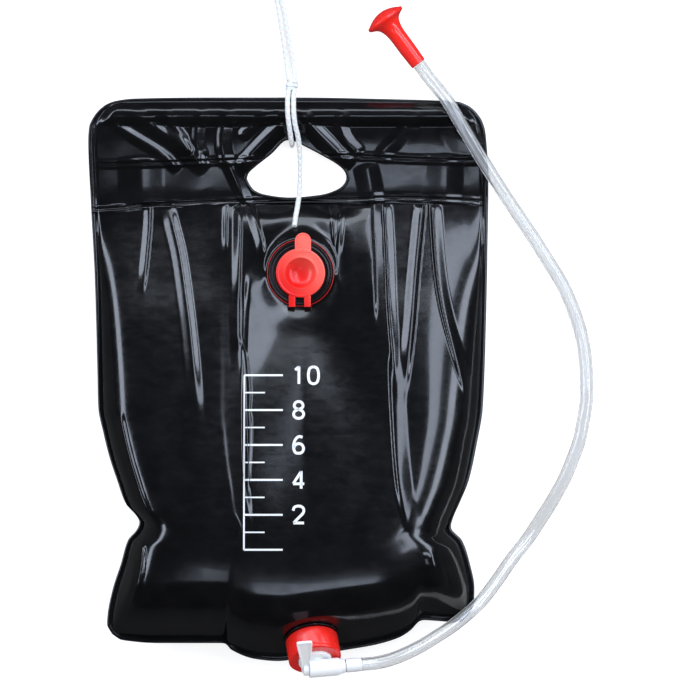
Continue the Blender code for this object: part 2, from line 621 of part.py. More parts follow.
def make_filler_lid():
    red = paint("lid_red", (0.85, 0.05, 0.03), 0.3)
    reach, height = hinge_reach(), hinge_height()
    frame = filler_frame() @ Matrix.Translation((0, -reach, height))
    inner = Matrix.Translation((0, reach, -height))
    low = height - LID_THICKNESS / 2
    top = low + LID_THICKNESS
    plug = NECK_BORE_RADIUS - GAP
    bottom = top - PLUG_DEPTH
    bowl = plug - PLUG_WALL
    profile = [
        (0, bottom), (plug - PLUG_TAPER * 2, bottom), (plug - PLUG_TAPER, bottom + PLUG_TAPER), (plug, low),
        (LID_RADIUS, low), (LID_RADIUS, top - LID_EDGE), (LID_RADIUS - LID_EDGE, top), (bowl, top),
    ]
    depth = top - bottom - PLUG_FLOOR
    turns = [math.radians(angle) for angle in (18, 36, 54, 72)]
    rim = bowl - PLUG_TAPER / 3
    profile += [(rim * math.cos(turn), top - depth * math.sin(turn)) for turn in turns] + [(0, top - depth)]
    lid = put("filler_lid", *turned(profile, FINE_SIDES), frame, red)
    lid.data.transform(inner)
    half = STRAP_THICKNESS / 2
    for x in strap_places():
        turns = [math.radians(angle) for angle in (90, 135, 180, 225, 270)]
        round_end = [(half * math.cos(turn), half * math.sin(turn)) for turn in turns]
        join = reach - math.sqrt(LID_RADIUS**2 - (abs(x) + STRAP_WIDTH / 2) ** 2) + LID_EDGE
        outline = round_end + [(join, -half), (join, half)]
        side = Matrix.Translation((x - STRAP_WIDTH / 2, 0, 0)) @ Matrix(
            ((0, 0, 1, 0), (1, 0, 0, 0), (0, 1, 0, 0), (0, 0, 0, 1)))
        combine(lid, prism(outline, 0, STRAP_WIDTH), frame @ side, "UNION")
    start = reach + math.sqrt(LID_RADIUS**2 - (TAB_X + TAB_WIDTH / 2) ** 2) - LID_EDGE
    end = reach + TAB_REACH - TAB_WIDTH / 2
    turns = [math.pi * n / ROD_SIDES for n in range(ROD_SIDES + 1)]
    tip = [(TAB_X + TAB_WIDTH / 2 * math.cos(turn), end + TAB_WIDTH / 2 * math.sin(turn)) for turn in turns]
    outline = [(TAB_X - TAB_WIDTH / 2, start), (TAB_X + TAB_WIDTH / 2, start)] + tip
    combine(lid, prism(outline, -half, half), frame, "UNION")


def thread_radius(turn, height, root):
    """Radius of a rounded thread at this turn and height along the axis."""
    wave = math.cos(2 * math.pi * height / THREAD_PITCH - turn)
    return root + THREAD_DEPTH * (1 + wave) / 2


def threaded_sleeve(low, high, first, last, root, inner, outward):
    """A sleeve between low and high with a thread between first and last, outside it or inside it."""
    steps = math.ceil((last - first) / THREAD_PITCH * THREAD_STEPS)
    heights = [low] + [first + (last - first) * n / steps for n in range(steps + 1)] + [high]
    points = []
    for height in heights:
        for n in range(SIDES):
            turn = 2 * math.pi * n / SIDES
            near = min(height - first, last - height) / THREAD_RUNOUT
            full = thread_radius(turn, height, root)
            plain = root if outward else root + THREAD_DEPTH
            reach = plain + (full - plain) * float(ease(near))
            points.append((reach * math.cos(turn), reach * math.sin(turn), height))
    start = len(points)
    for height in (high, low):
        turns = [2 * math.pi * n / SIDES for n in range(SIDES)]
        points += [(inner * math.cos(turn), inner * math.sin(turn), height) for turn in turns]
    rings = [list(range(n * SIDES, (n + 1) * SIDES)) for n in range(start // SIDES + 2)]
    faces = []
    for one, two in zip(rings, rings[1:] + rings[:1]):
        for n in range(SIDES):
            m = (n + 1) % SIDES
            corners = [one[n], one[m], two[m]], [one[n], two[m], two[n]]
            faces += [corner if outward else corner[::-1] for corner in corners]
    return points, faces


def make_outlet_spout():
    black = paint("spout_black", (0.02, 0.02, 0.021), 0.35)
    root = SPOUT_NECK_RADIUS
    foot = GAP + SPOUT_FLANGE_THICKNESS / 2
    shape = threaded_sleeve(foot, SPOUT_LENGTH, THREAD_START, SPOUT_LENGTH - GAP, root, SPOUT_BORE_RADIUS, True)
    spout = put("outlet_spout", *shape, outlet_frame(), black)
    bore, neck, top = SPOUT_BORE_RADIUS, SPOUT_NECK_RADIUS, GAP + SPOUT_FLANGE_THICKNESS
    profile = [
        (bore, -SPOUT_INSIDE), (neck, -SPOUT_INSIDE), (neck, GAP), (SPOUT_FLANGE_RADIUS, GAP),
        (SPOUT_FLANGE_RADIUS, top), (bore, top),
    ]
    combine(spout, turned(profile, SIDES, closed=True), outlet_frame(), "UNION")


def gasket_foot():
    return SPOUT_LENGTH + GAP


def tap_foot():
    return gasket_foot() + GASKET_THICKNESS + GAP


def nut_front():
    """Height of the nut's front face along the outlet's axis, its lip just over the tap's flange."""
    return tap_foot() + TAP_FLANGE_THICKNESS + GAP + NUT_LIP


def make_outlet_gasket():
    foot = gasket_foot()
    inner, outer = SPOUT_BORE_RADIUS, SPOUT_NECK_RADIUS
    profile = [(inner, foot), (outer, foot), (outer, foot + GASKET_THICKNESS), (inner, foot + GASKET_THICKNESS)]
    rubber = paint("gasket_rubber", (0.03, 0.03, 0.03), 0.7)
    put("outlet_gasket", *turned(profile, SIDES, closed=True), outlet_frame(), rubber)


def make_union_nut():
    red = paint("nut_red", (0.8, 0.04, 0.025), 0.3)
    front, back = nut_front(), nut_front() - NUT_LENGTH
    lip = front - NUT_LIP
    root = SPOUT_NECK_RADIUS + RUNNING_GAP
    opening = TAP_COLLAR_RADIUS + RUNNING_GAP
    # The sleeve's outer skin is plain, and its thread meets the spout's, a running gap further out
    shape = threaded_sleeve(back, lip + NUT_LIP / 2, THREAD_START, SPOUT_LENGTH, root, NUT_RADIUS - NUT_CHAMFER,
                            False)
    nut = put("union_nut", *shape, outlet_frame(), red)
    inner = NUT_RADIUS - NUT_CHAMFER * 2
    profile = [
        (inner, back), (NUT_RADIUS - NUT_CHAMFER / 2, back), (NUT_RADIUS, back + NUT_CHAMFER),
        (NUT_RADIUS, front - NUT_CHAMFER), (NUT_RADIUS - NUT_CHAMFER, front), (opening, front), (opening, lip),
        (inner, lip),
    ]
    combine(nut, turned(profile, FINE_SIDES, closed=True), outlet_frame(), "UNION")


def tap_frame():
    """Axes of the tap: X along the barrel towards the hose, Z out of the spout, at the barrel's middle."""
    rise = Matrix.Translation((0, 0, nut_front() + BARREL_RISE))
    return outlet_frame() @ rise @ Matrix.Rotation(TAP_TWIST, 4, "Z")


def along_barrel():
    """Turns a piece drawn round Z to lie along the barrel."""
    return tap_frame() @ Matrix.Rotation(math.radians(90), 4, "Y")


def make_tap_body():
    white = paint("tap_white", (0.85, 0.85, 0.84), 0.3)
    foot, step = tap_foot(), tap_foot() + TAP_FLANGE_THICKNESS
    top = nut_front() + TAP_COLLAR_RISE
    flange = SPOUT_NECK_RADIUS - GAP
    neck = BARREL_LEFT * 0.9
    middle = nut_front() + BARREL_RISE
    profile = [(0, foot), (flange, foot), (flange, step), (TAP_COLLAR_RADIUS, step), (TAP_COLLAR_RADIUS, top),
               (neck, top), (neck, middle), (0, middle)]
    body = put("tap_body", *turned(profile, SIDES), outlet_frame(), white)
    bore = BARREL_RIGHT - BARREL_RADIUS / 2
    round_end = BARREL_RADIUS / 4
    profile = [(0, -BARREL_LEFT), (BARREL_RADIUS, -BARREL_LEFT), (BARREL_RADIUS, BARREL_RIGHT - round_end),
               (BARREL_RADIUS - round_end, BARREL_RIGHT), (BARB_RADIUS, BARREL_RIGHT)]
    pitch = BARB_LENGTH / BARB_RIDGES
    for n in range(BARB_RIDGES):
        start = BARREL_RIGHT + n * pitch
        profile += [(BARB_RADIUS, start + pitch / 4), (BARB_RADIUS + BARB_RIDGE, start + pitch / 3),
                    (BARB_RADIUS, start + pitch)]
    profile.append((0, BARREL_RIGHT + BARB_LENGTH))
    combine(body, turned(profile, SIDES), along_barrel(), "UNION")
    port = rod(WATERWAY_RADIUS * 1.5, foot - OVERRUN, middle, ROD_SIDES)
    combine(body, port, outlet_frame(), "DIFFERENCE")
    bore = rod(PLUG_BORE_RADIUS, -BARREL_LEFT - OVERRUN, PLUG_BORE_RIGHT, SIDES)
    combine(body, bore, along_barrel(), "DIFFERENCE")
    way = rod(WATERWAY_RADIUS, 0, BARREL_RIGHT + BARB_LENGTH + OVERRUN, PORT_SIDES)
    combine(body, way, along_barrel(), "DIFFERENCE")


def seal_places():
    """Middles of the two seals along the plug."""
    inset = GAP + 2 * SEAL_WIDTH
    return [inset - BARREL_LEFT, PLUG_BORE_RIGHT - inset]


def make_tap_plug():
    white = paint("plug_white", (0.86, 0.86, 0.85), 0.35)
    radius = PLUG_BORE_RADIUS - GAP
    groove = PLUG_BORE_RADIUS - 2 * GAP - SEAL_THICKNESS
    half = SEAL_WIDTH / 2 + GAP
    hub_end = -BARREL_LEFT - GAP
    hub_start = hub_end - LEVER_HUB
    hub = BARREL_RISE - TAP_COLLAR_RISE - RUNNING_GAP
    profile = [(0, hub_start), (hub - GAP, hub_start), (hub, hub_start + GAP), (hub, hub_end), (radius, hub_end)]
    for place in seal_places():
        profile += [(radius, place - half), (groove, place - half), (groove, place + half), (radius, place + half)]
    profile += [(radius, PLUG_BORE_RIGHT - GAP), (0, PLUG_BORE_RIGHT - GAP)]
    plug = put("tap_plug", *turned(profile, SIDES), along_barrel(), white)
    plug.data.transform(Matrix.Rotation(math.radians(90), 4, "Y"))
    plug.matrix_world = tap_frame()
    # The lever stands off the hub along Y of its own axes, leaning towards the nut
    lean = tap_frame() @ Matrix.Rotation(-LEVER_LEAN, 4, "X")
    outer, inner = hub_start - LEVER_TIP_WIDTH / 2, hub_start + LEVER_HUB + LEVER_TIP_WIDTH / 8
    neck = hub * 1.5
    corner = LEVER_TIP_WIDTH / 8
    outline = [(hub_start, 0), (hub_end, 0), (hub_end, neck), (inner, neck * 1.6), (inner, LEVER_LENGTH - corner),
               (inner - corner, LEVER_LENGTH), (outer + corner, LEVER_LENGTH), (outer, LEVER_LENGTH - corner),
               (hub_start, neck)]
    combine(plug, prism(outline, -LEVER_THICKNESS / 2, LEVER_THICKNESS / 2), lean, "UNION")
    way = rod(WATERWAY_RADIUS, 0, PLUG_BORE_RIGHT + OVERRUN, PORT_SIDES)
    combine(plug, way, along_barrel(), "DIFFERENCE")
    side = rod(WATERWAY_RADIUS, 0, PLUG_BORE_RADIUS + OVERRUN, PORT_SIDES)
    combine(plug, side, tap_frame() @ Matrix.Rotation(math.radians(180), 4, "X"), "DIFFERENCE")


def make_plug_seals():
    rubber = paint("seal_rubber", (0.02, 0.02, 0.02), 0.6)
    outer, inner = PLUG_BORE_RADIUS - GAP, PLUG_BORE_RADIUS - GAP - SEAL_THICKNESS
    for number, place in enumerate(seal_places(), start=1):
        low, high = place - SEAL_WIDTH / 2, place + SEAL_WIDTH / 2
        profile = [(inner, low), (outer, low), (outer, high), (inner, high)]
        put(f"plug_seal_{number}", *turned(profile, SIDES, closed=True), along_barrel(), rubber)


def head_frame():
    """Axes of the spray head: Z from its face back along its neck to the hose, its lip on the floor."""
    place = Matrix.Translation((HEAD_X, HEAD_Y, HEAD_RADIUS + GAP))
    return place @ Matrix.Rotation(HEAD_TURN, 4, "Z") @ Matrix.Rotation(math.radians(90), 4, "Y")


def rose_radius():
    return HEAD_RADIUS - HEAD_WALL - GAP


def make_shower_head():
    red = paint("head_red", (0.8, 0.03, 0.025), 0.25)
    neck, length = HEAD_NECK_RADIUS, HEAD_LENGTH
    socket = HOSE_DIAMETER / 2 + GAP
    socket_foot = HEAD_LENGTH - HEAD_SOCKET_DEPTH
    flare = HEAD_RADIUS - neck
    outside = [
        (HEAD_RADIUS, 0), (HEAD_RADIUS, HEAD_LIP), (neck + flare * 0.7, HEAD_LIP * 1.35),
        (neck + flare * 0.38, HEAD_LIP * 2), (neck + flare * 0.2, HEAD_LIP * 3.2), (neck + flare * 0.06, HEAD_LIP * 5),
        (neck, HEAD_LIP * 7), (neck, length * 2 / 3), (HEAD_END_RADIUS, length),
    ]
    chamber = HEAD_SEAT_DEPTH + HEAD_LIP / 3
    inside = [
        (socket, length), (socket, socket_foot), (HEAD_BORE_RADIUS, socket_foot), (HEAD_BORE_RADIUS, HEAD_LIP * 5),
        (neck + flare * 0.2 - HEAD_WALL, HEAD_LIP * 2.4), (rose_radius() - HEAD_WALL, chamber),
        (rose_radius() - HEAD_WALL, HEAD_SEAT_DEPTH), (rose_radius() + GAP, HEAD_SEAT_DEPTH),
        (rose_radius() + GAP, 0),
    ]
    put("shower_head", *turned(outside + inside, SIDES, closed=True), head_frame(), red)


def make_rose_plate():
    red = paint("rose_red", (0.8, 0.03, 0.025), 0.3)
    edge = HEAD_SEAT_DEPTH - GAP
    radius = rose_radius()
    shares = (1, 0.8, 0.6, 0.4, 0.2)
    front = [(radius * share, edge - ROSE_THICKNESS - ROSE_DOME * (1 - share**2)) for share in shares]
    back = [(radius * share, edge - ROSE_DOME * (1 - share**2)) for share in reversed(shares)]
    profile = [(0, edge - ROSE_THICKNESS - ROSE_DOME)] + front[::-1] + back[::-1] + [(0, edge - ROSE_DOME)]
    plate = put("rose_plate", *turned(profile, SIDES), head_frame(), red)
    places = [(0, 0)]
    for ring in range(1, ROSE_RINGS + 1):
        turns = [2 * math.pi * n / (6 * ring) for n in range(6 * ring)]
        places += [(ring * ROSE_HOLE_PITCH * math.cos(turn), ring * ROSE_HOLE_PITCH * math.sin(turn)) for turn in turns]
    for x, y in places:
        hole = rod(ROSE_HOLE_RADIUS, -ROSE_DOME - ROSE_THICKNESS - OVERRUN, OVERRUN, PORT_SIDES - 2)
        combine(plate, hole, head_frame() @ Matrix.Translation((x, y, 0)), "DIFFERENCE")


def smooth_route(route_mm, step):
    """Even points, about a step apart, on a smooth curve through the route's points."""
    route = np.array(route_mm) * MM
    route = np.vstack([2 * route[0] - route[1], route, 2 * route[-1] - route[-2]])
    t = np.linspace(0, 1, 20, endpoint=False)[:, None]
    pieces = []
    for a, b, c, d in zip(route, route[1:], route[2:], route[3:]):
        pieces.append(b + t * (c - a) / 2 + t**2 * (a - 5 / 2 * b + 2 * c - d / 2) + t**3 * (3 * (b - c) + d - a) / 2)
    dense = np.vstack(pieces + [route[-2:-1]])
    length = np.concatenate([[0], np.cumsum(np.linalg.norm(np.diff(dense, axis=0), axis=1))])
    at = np.linspace(0, length[-1], max(2, round(length[-1] / step)) + 1)
    return np.array([np.interp(at, length, dense[:, axis]) for axis in range(3)]).T, length[-1]


def make_cord(name, route_mm, diameter, step_in_diameters, resolution, material):
    points, length = smooth_route(route_mm, step_in_diameters * diameter)
    print(f"{name}: {length / MM:.1f} mm in {len(points)} points")
    curve = bpy.data.curves.new(name, "CURVE")
    curve.dimensions = "3D"
    curve.bevel_depth = diameter / 2
    curve.bevel_resolution = resolution
    curve.use_fill_caps = True
    spline = curve.splines.new("POLY")
    spline.points.add(len(points) - 1)
    spline.points.foreach_set("co", np.hstack([points, np.ones((len(points), 1))]).ravel())
    curve.materials.append(material)
    obj = bpy.data.objects.new(name, curve)
    bpy.context.scene.collection.objects.link(obj)


def make_hose():
    clear = paint("hose_clear", (0.8, 0.82, 0.82), 0.1, alpha=0.5)
    make_cord("shower_hose", HOSE_ROUTE_MM, HOSE_DIAMETER, 2, 3, clear)


def make_rope():
    white = paint("rope_white", (0.85, 0.84, 0.8), 0.8)
    make_cord("rope_loop", ROPE_LOOP_MM, ROPE_DIAMETER, 2, 2, white)
    make_cord("rope_wrap", ROPE_WRAP_MM, ROPE_DIAMETER, 2, 2, white)
    make_cord("rope_tail", ROPE_TAIL_MM, ROPE_DIAMETER, 2, 2, white)
    half = KNOT_LENGTH / 2
    turns = [math.radians(angle) for angle in (-60, -30, 0, 30, 60)]
    profile = [(0, -half)] + [(KNOT_RADIUS * math.cos(turn), half * math.sin(turn)) for turn in turns] + [(0, half)]
    middle = np.mean([ROPE_LOOP_MM[0], ROPE_LOOP_MM[-1], ROPE_WRAP_MM[0], ROPE_TAIL_MM[0]], axis=0) * MM
    put("rope_knot", *turned(profile, ROD_SIDES), Matrix.Translation(middle), white)


def main():
    for obj in list(bpy.data.objects):
        bpy.data.objects.remove(obj, do_unlink=True)
    make_front_panel()
    make_back_panel()
    make_hanger_bar()
    make_filler_neck()
    make_tether_ring()
    make_filler_lid()
    make_outlet_spout()
    make_outlet_gasket()
    make_union_nut()
    make_tap_body()
    make_tap_plug()
    make_plug_seals()
    make_hose()
    make_shower_head()
    make_rose_plate()
    make_rope()


main()
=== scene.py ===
import json
import math

import bmesh
import bpy
import numpy as np
from mathutils import Matrix, Vector

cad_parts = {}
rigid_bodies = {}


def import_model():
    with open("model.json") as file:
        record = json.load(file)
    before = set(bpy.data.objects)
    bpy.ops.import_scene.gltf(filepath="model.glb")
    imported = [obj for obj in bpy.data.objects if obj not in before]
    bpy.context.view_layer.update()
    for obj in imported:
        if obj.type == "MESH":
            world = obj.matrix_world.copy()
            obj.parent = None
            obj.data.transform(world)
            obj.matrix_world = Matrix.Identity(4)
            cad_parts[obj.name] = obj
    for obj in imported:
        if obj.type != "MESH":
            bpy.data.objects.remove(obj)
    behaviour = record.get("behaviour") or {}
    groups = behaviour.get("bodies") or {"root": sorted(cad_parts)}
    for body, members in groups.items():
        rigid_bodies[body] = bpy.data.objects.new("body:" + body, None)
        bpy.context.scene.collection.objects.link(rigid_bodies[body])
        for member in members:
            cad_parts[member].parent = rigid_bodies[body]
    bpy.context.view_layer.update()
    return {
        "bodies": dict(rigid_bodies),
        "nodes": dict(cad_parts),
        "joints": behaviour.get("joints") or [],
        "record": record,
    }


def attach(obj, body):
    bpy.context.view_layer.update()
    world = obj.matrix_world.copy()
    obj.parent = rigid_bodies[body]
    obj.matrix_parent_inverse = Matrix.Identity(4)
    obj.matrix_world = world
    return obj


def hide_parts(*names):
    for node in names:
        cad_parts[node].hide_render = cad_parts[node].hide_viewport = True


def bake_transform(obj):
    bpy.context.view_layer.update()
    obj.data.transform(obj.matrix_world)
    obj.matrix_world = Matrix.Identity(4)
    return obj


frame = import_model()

MM = 0.001
PIXEL = 0.78 * MM  # one pixel of the photograph on the bag
MIDDLE_PIXEL = (288.25, 379.0)

# Camera, floor and lamps

AMBIENT, CEILING = 0.55, 0.02  # the world's strength to matt and to glossy surfaces
FLOOR_GREY, FLOOR_GLOSS = (0.74, 0.74, 0.74, 1), 0.03
CAMERA_PLACE, CAMERA_LENS = (0.0404, 0.0304, 7.0), 473
LAMPS_AIM, LAMPS_AWAY = Vector((0.02, 0, 0.04)), 1.7
# Name, direction from the bag, size across and along the bag's length, power and colour
LAMPS = (
    ("lamp_left_key", (-0.78, 0.33, 0.51), (0.42, 2.1), 19.0, (0.75, 0.84, 1)),
    ("lamp_right_key", (0.78, 0.33, 0.51), (0.42, 2.1), 19.0, (0.75, 0.84, 1)),
    ("lamp_high_right", (0.36, 0.42, 0.83), (0.50, 1.6), 14.0, (0.74, 0.83, 1)),
    ("lamp_behind", (-0.10, 0.84, 0.54), (1.7, 0.34), 8.5, (0.80, 0.88, 1)),
    ("lamp_front", (0.02, -0.34, 0.94), (0.26, 0.32), 0.9, (0.72, 0.82, 1)),
)


def lamp(name, direction, size, power, colour):
    """A rectangular soft lamp that faces the bag's middle, its length along Y as far as that goes."""
    light = bpy.data.lights.new(name, "AREA")
    light.shape = "RECTANGLE"
    light.size, light.size_y = size
    light.energy, light.color = power, colour
    away = Vector(direction).normalized()
    long = (Vector((0, 1, 0)) - away * away.y).normalized()
    axes = Matrix((long.cross(away), long, away)).transposed().to_4x4()
    obj = bpy.data.objects.new(name, light)
    obj.matrix_world = Matrix.Translation(LAMPS_AIM + away * LAMPS_AWAY) @ axes
    bpy.context.scene.collection.objects.link(obj)


def feed(tree, *pairs):
    """Gives each socket its value: a plain one is set, and another node's output is linked."""
    for value, socket in pairs:
        if isinstance(value, bpy.types.NodeSocket):
            tree.links.new(value, socket)
        else:
            socket.default_value = value


def sum_of(tree, *terms):
    """Sum of outputs times their weights, which are numbers or outputs."""
    total = 0
    for term in terms:
        node = tree.nodes.new("ShaderNodeMath")
        node.operation = "MULTIPLY_ADD"
        feed(tree, *zip((*term, total), node.inputs))
        total = node.outputs[0]
    return total


def ranged(tree, output, first, last, low=0, high=1, kind="LINEAR"):
    """The output's values from first to last drawn out from low to high."""
    node = tree.nodes.new("ShaderNodeMapRange")
    node.interpolation_type = kind
    keys = ("Value", "From Min", "From Max", "To Min", "To Max")
    feed(tree, *zip((output, first, last, low, high), (node.inputs[key] for key in keys)))
    return node.outputs[0]


def fresh_nodes(holder, *kinds):
    """The emptied node tree of a world or a material, and a new node of each kind in it."""
    holder.use_nodes = True
    tree = holder.node_tree
    tree.nodes.clear()
    return tree, *(tree.nodes.new("ShaderNode" + kind) for kind in kinds)


def make_world(scene):
    """White to the camera and, near the horizon, to bent rays. An even level lights matt surfaces, and gloss
    sees a dim ceiling."""
    world = scene.world = bpy.data.worlds.new("studio")
    tree, out, light, path, where, parts = fresh_nodes(
        world, "OutputWorld", "Background", "LightPath", "TexCoord", "SeparateXYZ")
    world.cycles.sampling_method = "NONE"
    rays = path.outputs
    horizon = ranged(tree, parts.outputs["Z"], 0.15, 0.55, 1, 0.12, "SMOOTHSTEP")
    strength = sum_of(tree, (rays["Is Camera Ray"], 1), (rays["Is Diffuse Ray"], AMBIENT),
                      (rays["Is Transmission Ray"], horizon), (rays["Is Glossy Ray"], CEILING))
    feed(tree, (where.outputs["Generated"], parts.inputs[0]), (strength, light.inputs["Strength"]),
         ((1, 1, 1, 1), light.inputs["Color"]), (light.outputs[0], out.inputs[0]))


def make_floor(scene):
    """A pale floor that keeps the object's shadow. Bent rays see it white under the object and dimmer far
    out, which gives clear pieces their grey edges. From below it is clear, so that the bag's back shows."""
    mesh = bpy.data.meshes.new("floor")
    mesh.from_pydata([(x, y, -0.0003) for x, y in ((-6, -6), (6, -6), (6, 6), (-6, 6))], [], [(0, 1, 2, 3)])
    floor = bpy.data.objects.new("floor", mesh)
    scene.collection.objects.link(floor)
    paper = bpy.data.materials.new("floor_paper")
    tree, out, matt, glow, both, path, where, far, side, clear, pick = fresh_nodes(
        paper, "OutputMaterial", "BsdfDiffuse", "Emission", "AddShader", "LightPath", "TexCoord",
        "VectorMath", "NewGeometry", "BsdfTransparent", "MixShader")
    paper.cycles.emission_sampling = "NONE"
    far.operation = "LENGTH"
    rays = path.outputs
    shade = ranged(tree, rays["Is Glossy Ray"], 0, 1, 0.5, FLOOR_GLOSS, "SMOOTHSTEP")
    near = ranged(tree, far.outputs["Value"], 0.34, 0.9, 1, 0.1, "SMOOTHSTEP")
    strength = sum_of(tree, (rays["Is Camera Ray"], 1), (rays["Is Transmission Ray"], near),
                      (rays["Is Glossy Ray"], FLOOR_GLOSS))
    feed(tree, (shade, matt.inputs["Color"]), (where.outputs["Object"], far.inputs[0]),
         (strength, glow.inputs["Strength"]), (FLOOR_GREY, glow.inputs["Color"]),
         (matt.outputs[0], both.inputs[0]), (glow.outputs[0], both.inputs[1]),
         (side.outputs["Backfacing"], pick.inputs[0]), (both.outputs[0], pick.inputs[1]),
         (clear.outputs[0], pick.inputs[2]), (pick.outputs[0], out.inputs[0]))
    mesh.materials.append(paper)


def make_stage():
    """The camera straight above the bag, the world, the floor and the lamps."""
    scene = bpy.context.scene
    scene.view_settings.view_transform = "Standard"
    lens = bpy.data.cameras.new("camera")
    lens.lens, lens.sensor_width = CAMERA_LENS, 36
    lens.clip_start, lens.clip_end = 0.1, 50
    camera = bpy.data.objects.new("camera", lens)
    camera.location = CAMERA_PLACE
    scene.collection.objects.link(camera)
    scene.camera = camera
    make_world(scene)
    make_floor(scene)
    for row in LAMPS:
        lamp(*row)


# Finishes


def finish(name, colour, roughness, **settings):
    """A Principled material. Settings are its own sockets, with spaces written as underscores."""
    found = bpy.data.materials.new(name)
    found.use_nodes = True
    sockets = found.node_tree.nodes["Principled BSDF"].inputs
    settings.update(Base_Color=(*colour, 1), Roughness=roughness)
    for key, value in settings.items():
        sockets[key.replace("_", " ")].default_value = value
    return found


def noise(material, scale, detail, roughness, stretch=(1, 1, 1)):
    """Noise on Object coordinates, its pattern repeated scale times a metre."""
    tree = material.node_tree
    where, mapping, found = (
        tree.nodes.new("ShaderNode" + kind) for kind in ("TexCoord", "Mapping", "TexNoise"))
    feed(tree, (where.outputs["Object"], mapping.inputs[0]), (stretch, mapping.inputs["Scale"]),
         (mapping.outputs[0], found.inputs["Vector"]), (scale, found.inputs["Scale"]),
         (detail, found.inputs["Detail"]), (roughness, found.inputs["Roughness"]))
    return found.outputs[0]


def add_bump(material, output, distance, strength):
    """Raises the surface by the output times the distance, over any bump that is there already."""
    tree = material.node_tree
    bump, normal = tree.nodes.new("ShaderNodeBump"), tree.nodes["Principled BSDF"].inputs["Normal"]
    if normal.links:
        feed(tree, (normal.links[0].from_socket, bump.inputs["Normal"]))
    feed(tree, (output, bump.inputs["Height"]), (distance, bump.inputs["Distance"]),
         (strength, bump.inputs["Strength"]), (bump.outputs[0], normal))


def vary_colour(material, output, first, last, one, two):
    """Base colour from one to two as the output goes from first to last."""
    tree = material.node_tree
    mix = tree.nodes.new("ShaderNodeMix")
    mix.data_type = "RGBA"
    feed(tree, (ranged(tree, output, first, last), mix.inputs[0]), ((*one, 1), mix.inputs[6]),
         ((*two, 1), mix.inputs[7]), (mix.outputs[2], tree.nodes["Principled BSDF"].inputs["Base Color"]))


def vary_roughness(material, output, first, last, low, high):
    """Roughness from low to high as the output goes from first to last."""
    tree = material.node_tree
    feed(tree, (ranged(tree, output, first, last, low, high),
                tree.nodes["Principled BSDF"].inputs["Roughness"]))


def film_finish(name, roughness):
    """Black vinyl film: fine rolled lines across the bag, faint mottling and scuffs."""
    film = finish(name, (0.0035, 0.0035, 0.004), roughness, Specular_IOR_Level=0.5, Coat_Weight=0.3,
                  Coat_Roughness=0.06)
    add_bump(film, noise(film, 700, 2, 0.6, (0.05, 1, 0.4)), 0.00002, 0.5)
    mottle = noise(film, 45, 3, 0.5)
    add_bump(film, mottle, 0.0003, 0.3)
    scuffs = noise(film, 160, 5, 0.7, (0.5, 1, 1))
    vary_roughness(film, scuffs, 0.35, 0.7, roughness * 0.85, roughness * 1.35)
    vary_colour(film, mottle, 0.4, 0.7, (0.003, 0.003, 0.0035), (0.005, 0.005, 0.0055))
    return film


def moulded_finish(name, colour, shade, roughness, **settings):
    """Moulded plastic: colour that drifts to any shade, a fine satin grain and faint flow unevenness."""
    found = finish(name, colour, roughness, **settings)
    drift = noise(found, 60, 3, 0.5)
    if shade:
        vary_colour(found, drift, 0.35, 0.65, colour, shade)
    add_bump(found, noise(found, 2600, 2, 0.5), 0.00002, 0.3)
    add_bump(found, noise(found, 180, 2, 0.5), 0.0001, 0.25)
    vary_roughness(found, drift, 0.35, 0.65, roughness * 0.85, roughness * 1.2)
    return found


def lid_finish():
    """The lid's red with painted light: it pales towards its upper right and on what stands proud, where the
    lamps fall.
    """
    lid = moulded_finish("lid_red", (0.93, 0.040, 0.024), None, 0.30, Subsurface_Weight=0.15,
                         Subsurface_Scale=0.003)
    tree = lid.node_tree
    where, painted_light_way = tree.nodes.new("ShaderNodeTexCoord"), tree.nodes.new("ShaderNodeVectorMath")
    painted_light_way.operation = "DOT_PRODUCT"
    feed(tree, (where.outputs["Object"], painted_light_way.inputs[0]), ((0.7, 0.7, 2.2), painted_light_way.inputs[1]))
    # Painted light: the red pales towards the upper right and the top, as if lit from there.
    vary_colour(lid, painted_light_way.outputs["Value"], 0.113, 0.148, (0.70, 0.004, 0.003), (0.93, 0.14, 0.105))
    return lid


def hose_finish():
    """Clear soft plastic with painted dark edges: its colour greys where its wall is seen edge-on, in place
    of the dark surroundings the edges reflect, with a faintly uneven gloss.
    """
    hose = finish("hose_clear", (0.96, 0.97, 0.98), 0.05, Transmission_Weight=0.90, IOR=1.25, Coat_Weight=1.0)
    facing = hose.node_tree.nodes.new("ShaderNodeLayerWeight").outputs["Facing"]
    # Painted reflection: the colour greys towards the edges as they turn away from the camera.
    vary_colour(hose, facing, 0.6, 0.95, (0.97, 0.98, 0.99), (0.30, 0.32, 0.36))
    vary_roughness(hose, noise(hose, 90, 2, 0.5), 0.35, 0.65, 0.03, 0.09)
    return hose


def rope_finish():
    """White fibres that run along the bag, with painted shade in the gaps between them."""
    rope = finish("rope_white", (0.72, 0.72, 0.71), 0.6, Sheen_Weight=0.3, Subsurface_Weight=0.2,
                  Subsurface_Scale=0.001)
    fibres = noise(rope, 1500, 4, 0.7, (1, 0.25, 1))
    add_bump(rope, fibres, 0.0002, 0.6)
    # Painted shade: the colour darkens where the fibre bump is low.
    vary_colour(rope, fibres, 0.35, 0.65, (0.60, 0.60, 0.59), (0.74, 0.74, 0.73))
    return rope


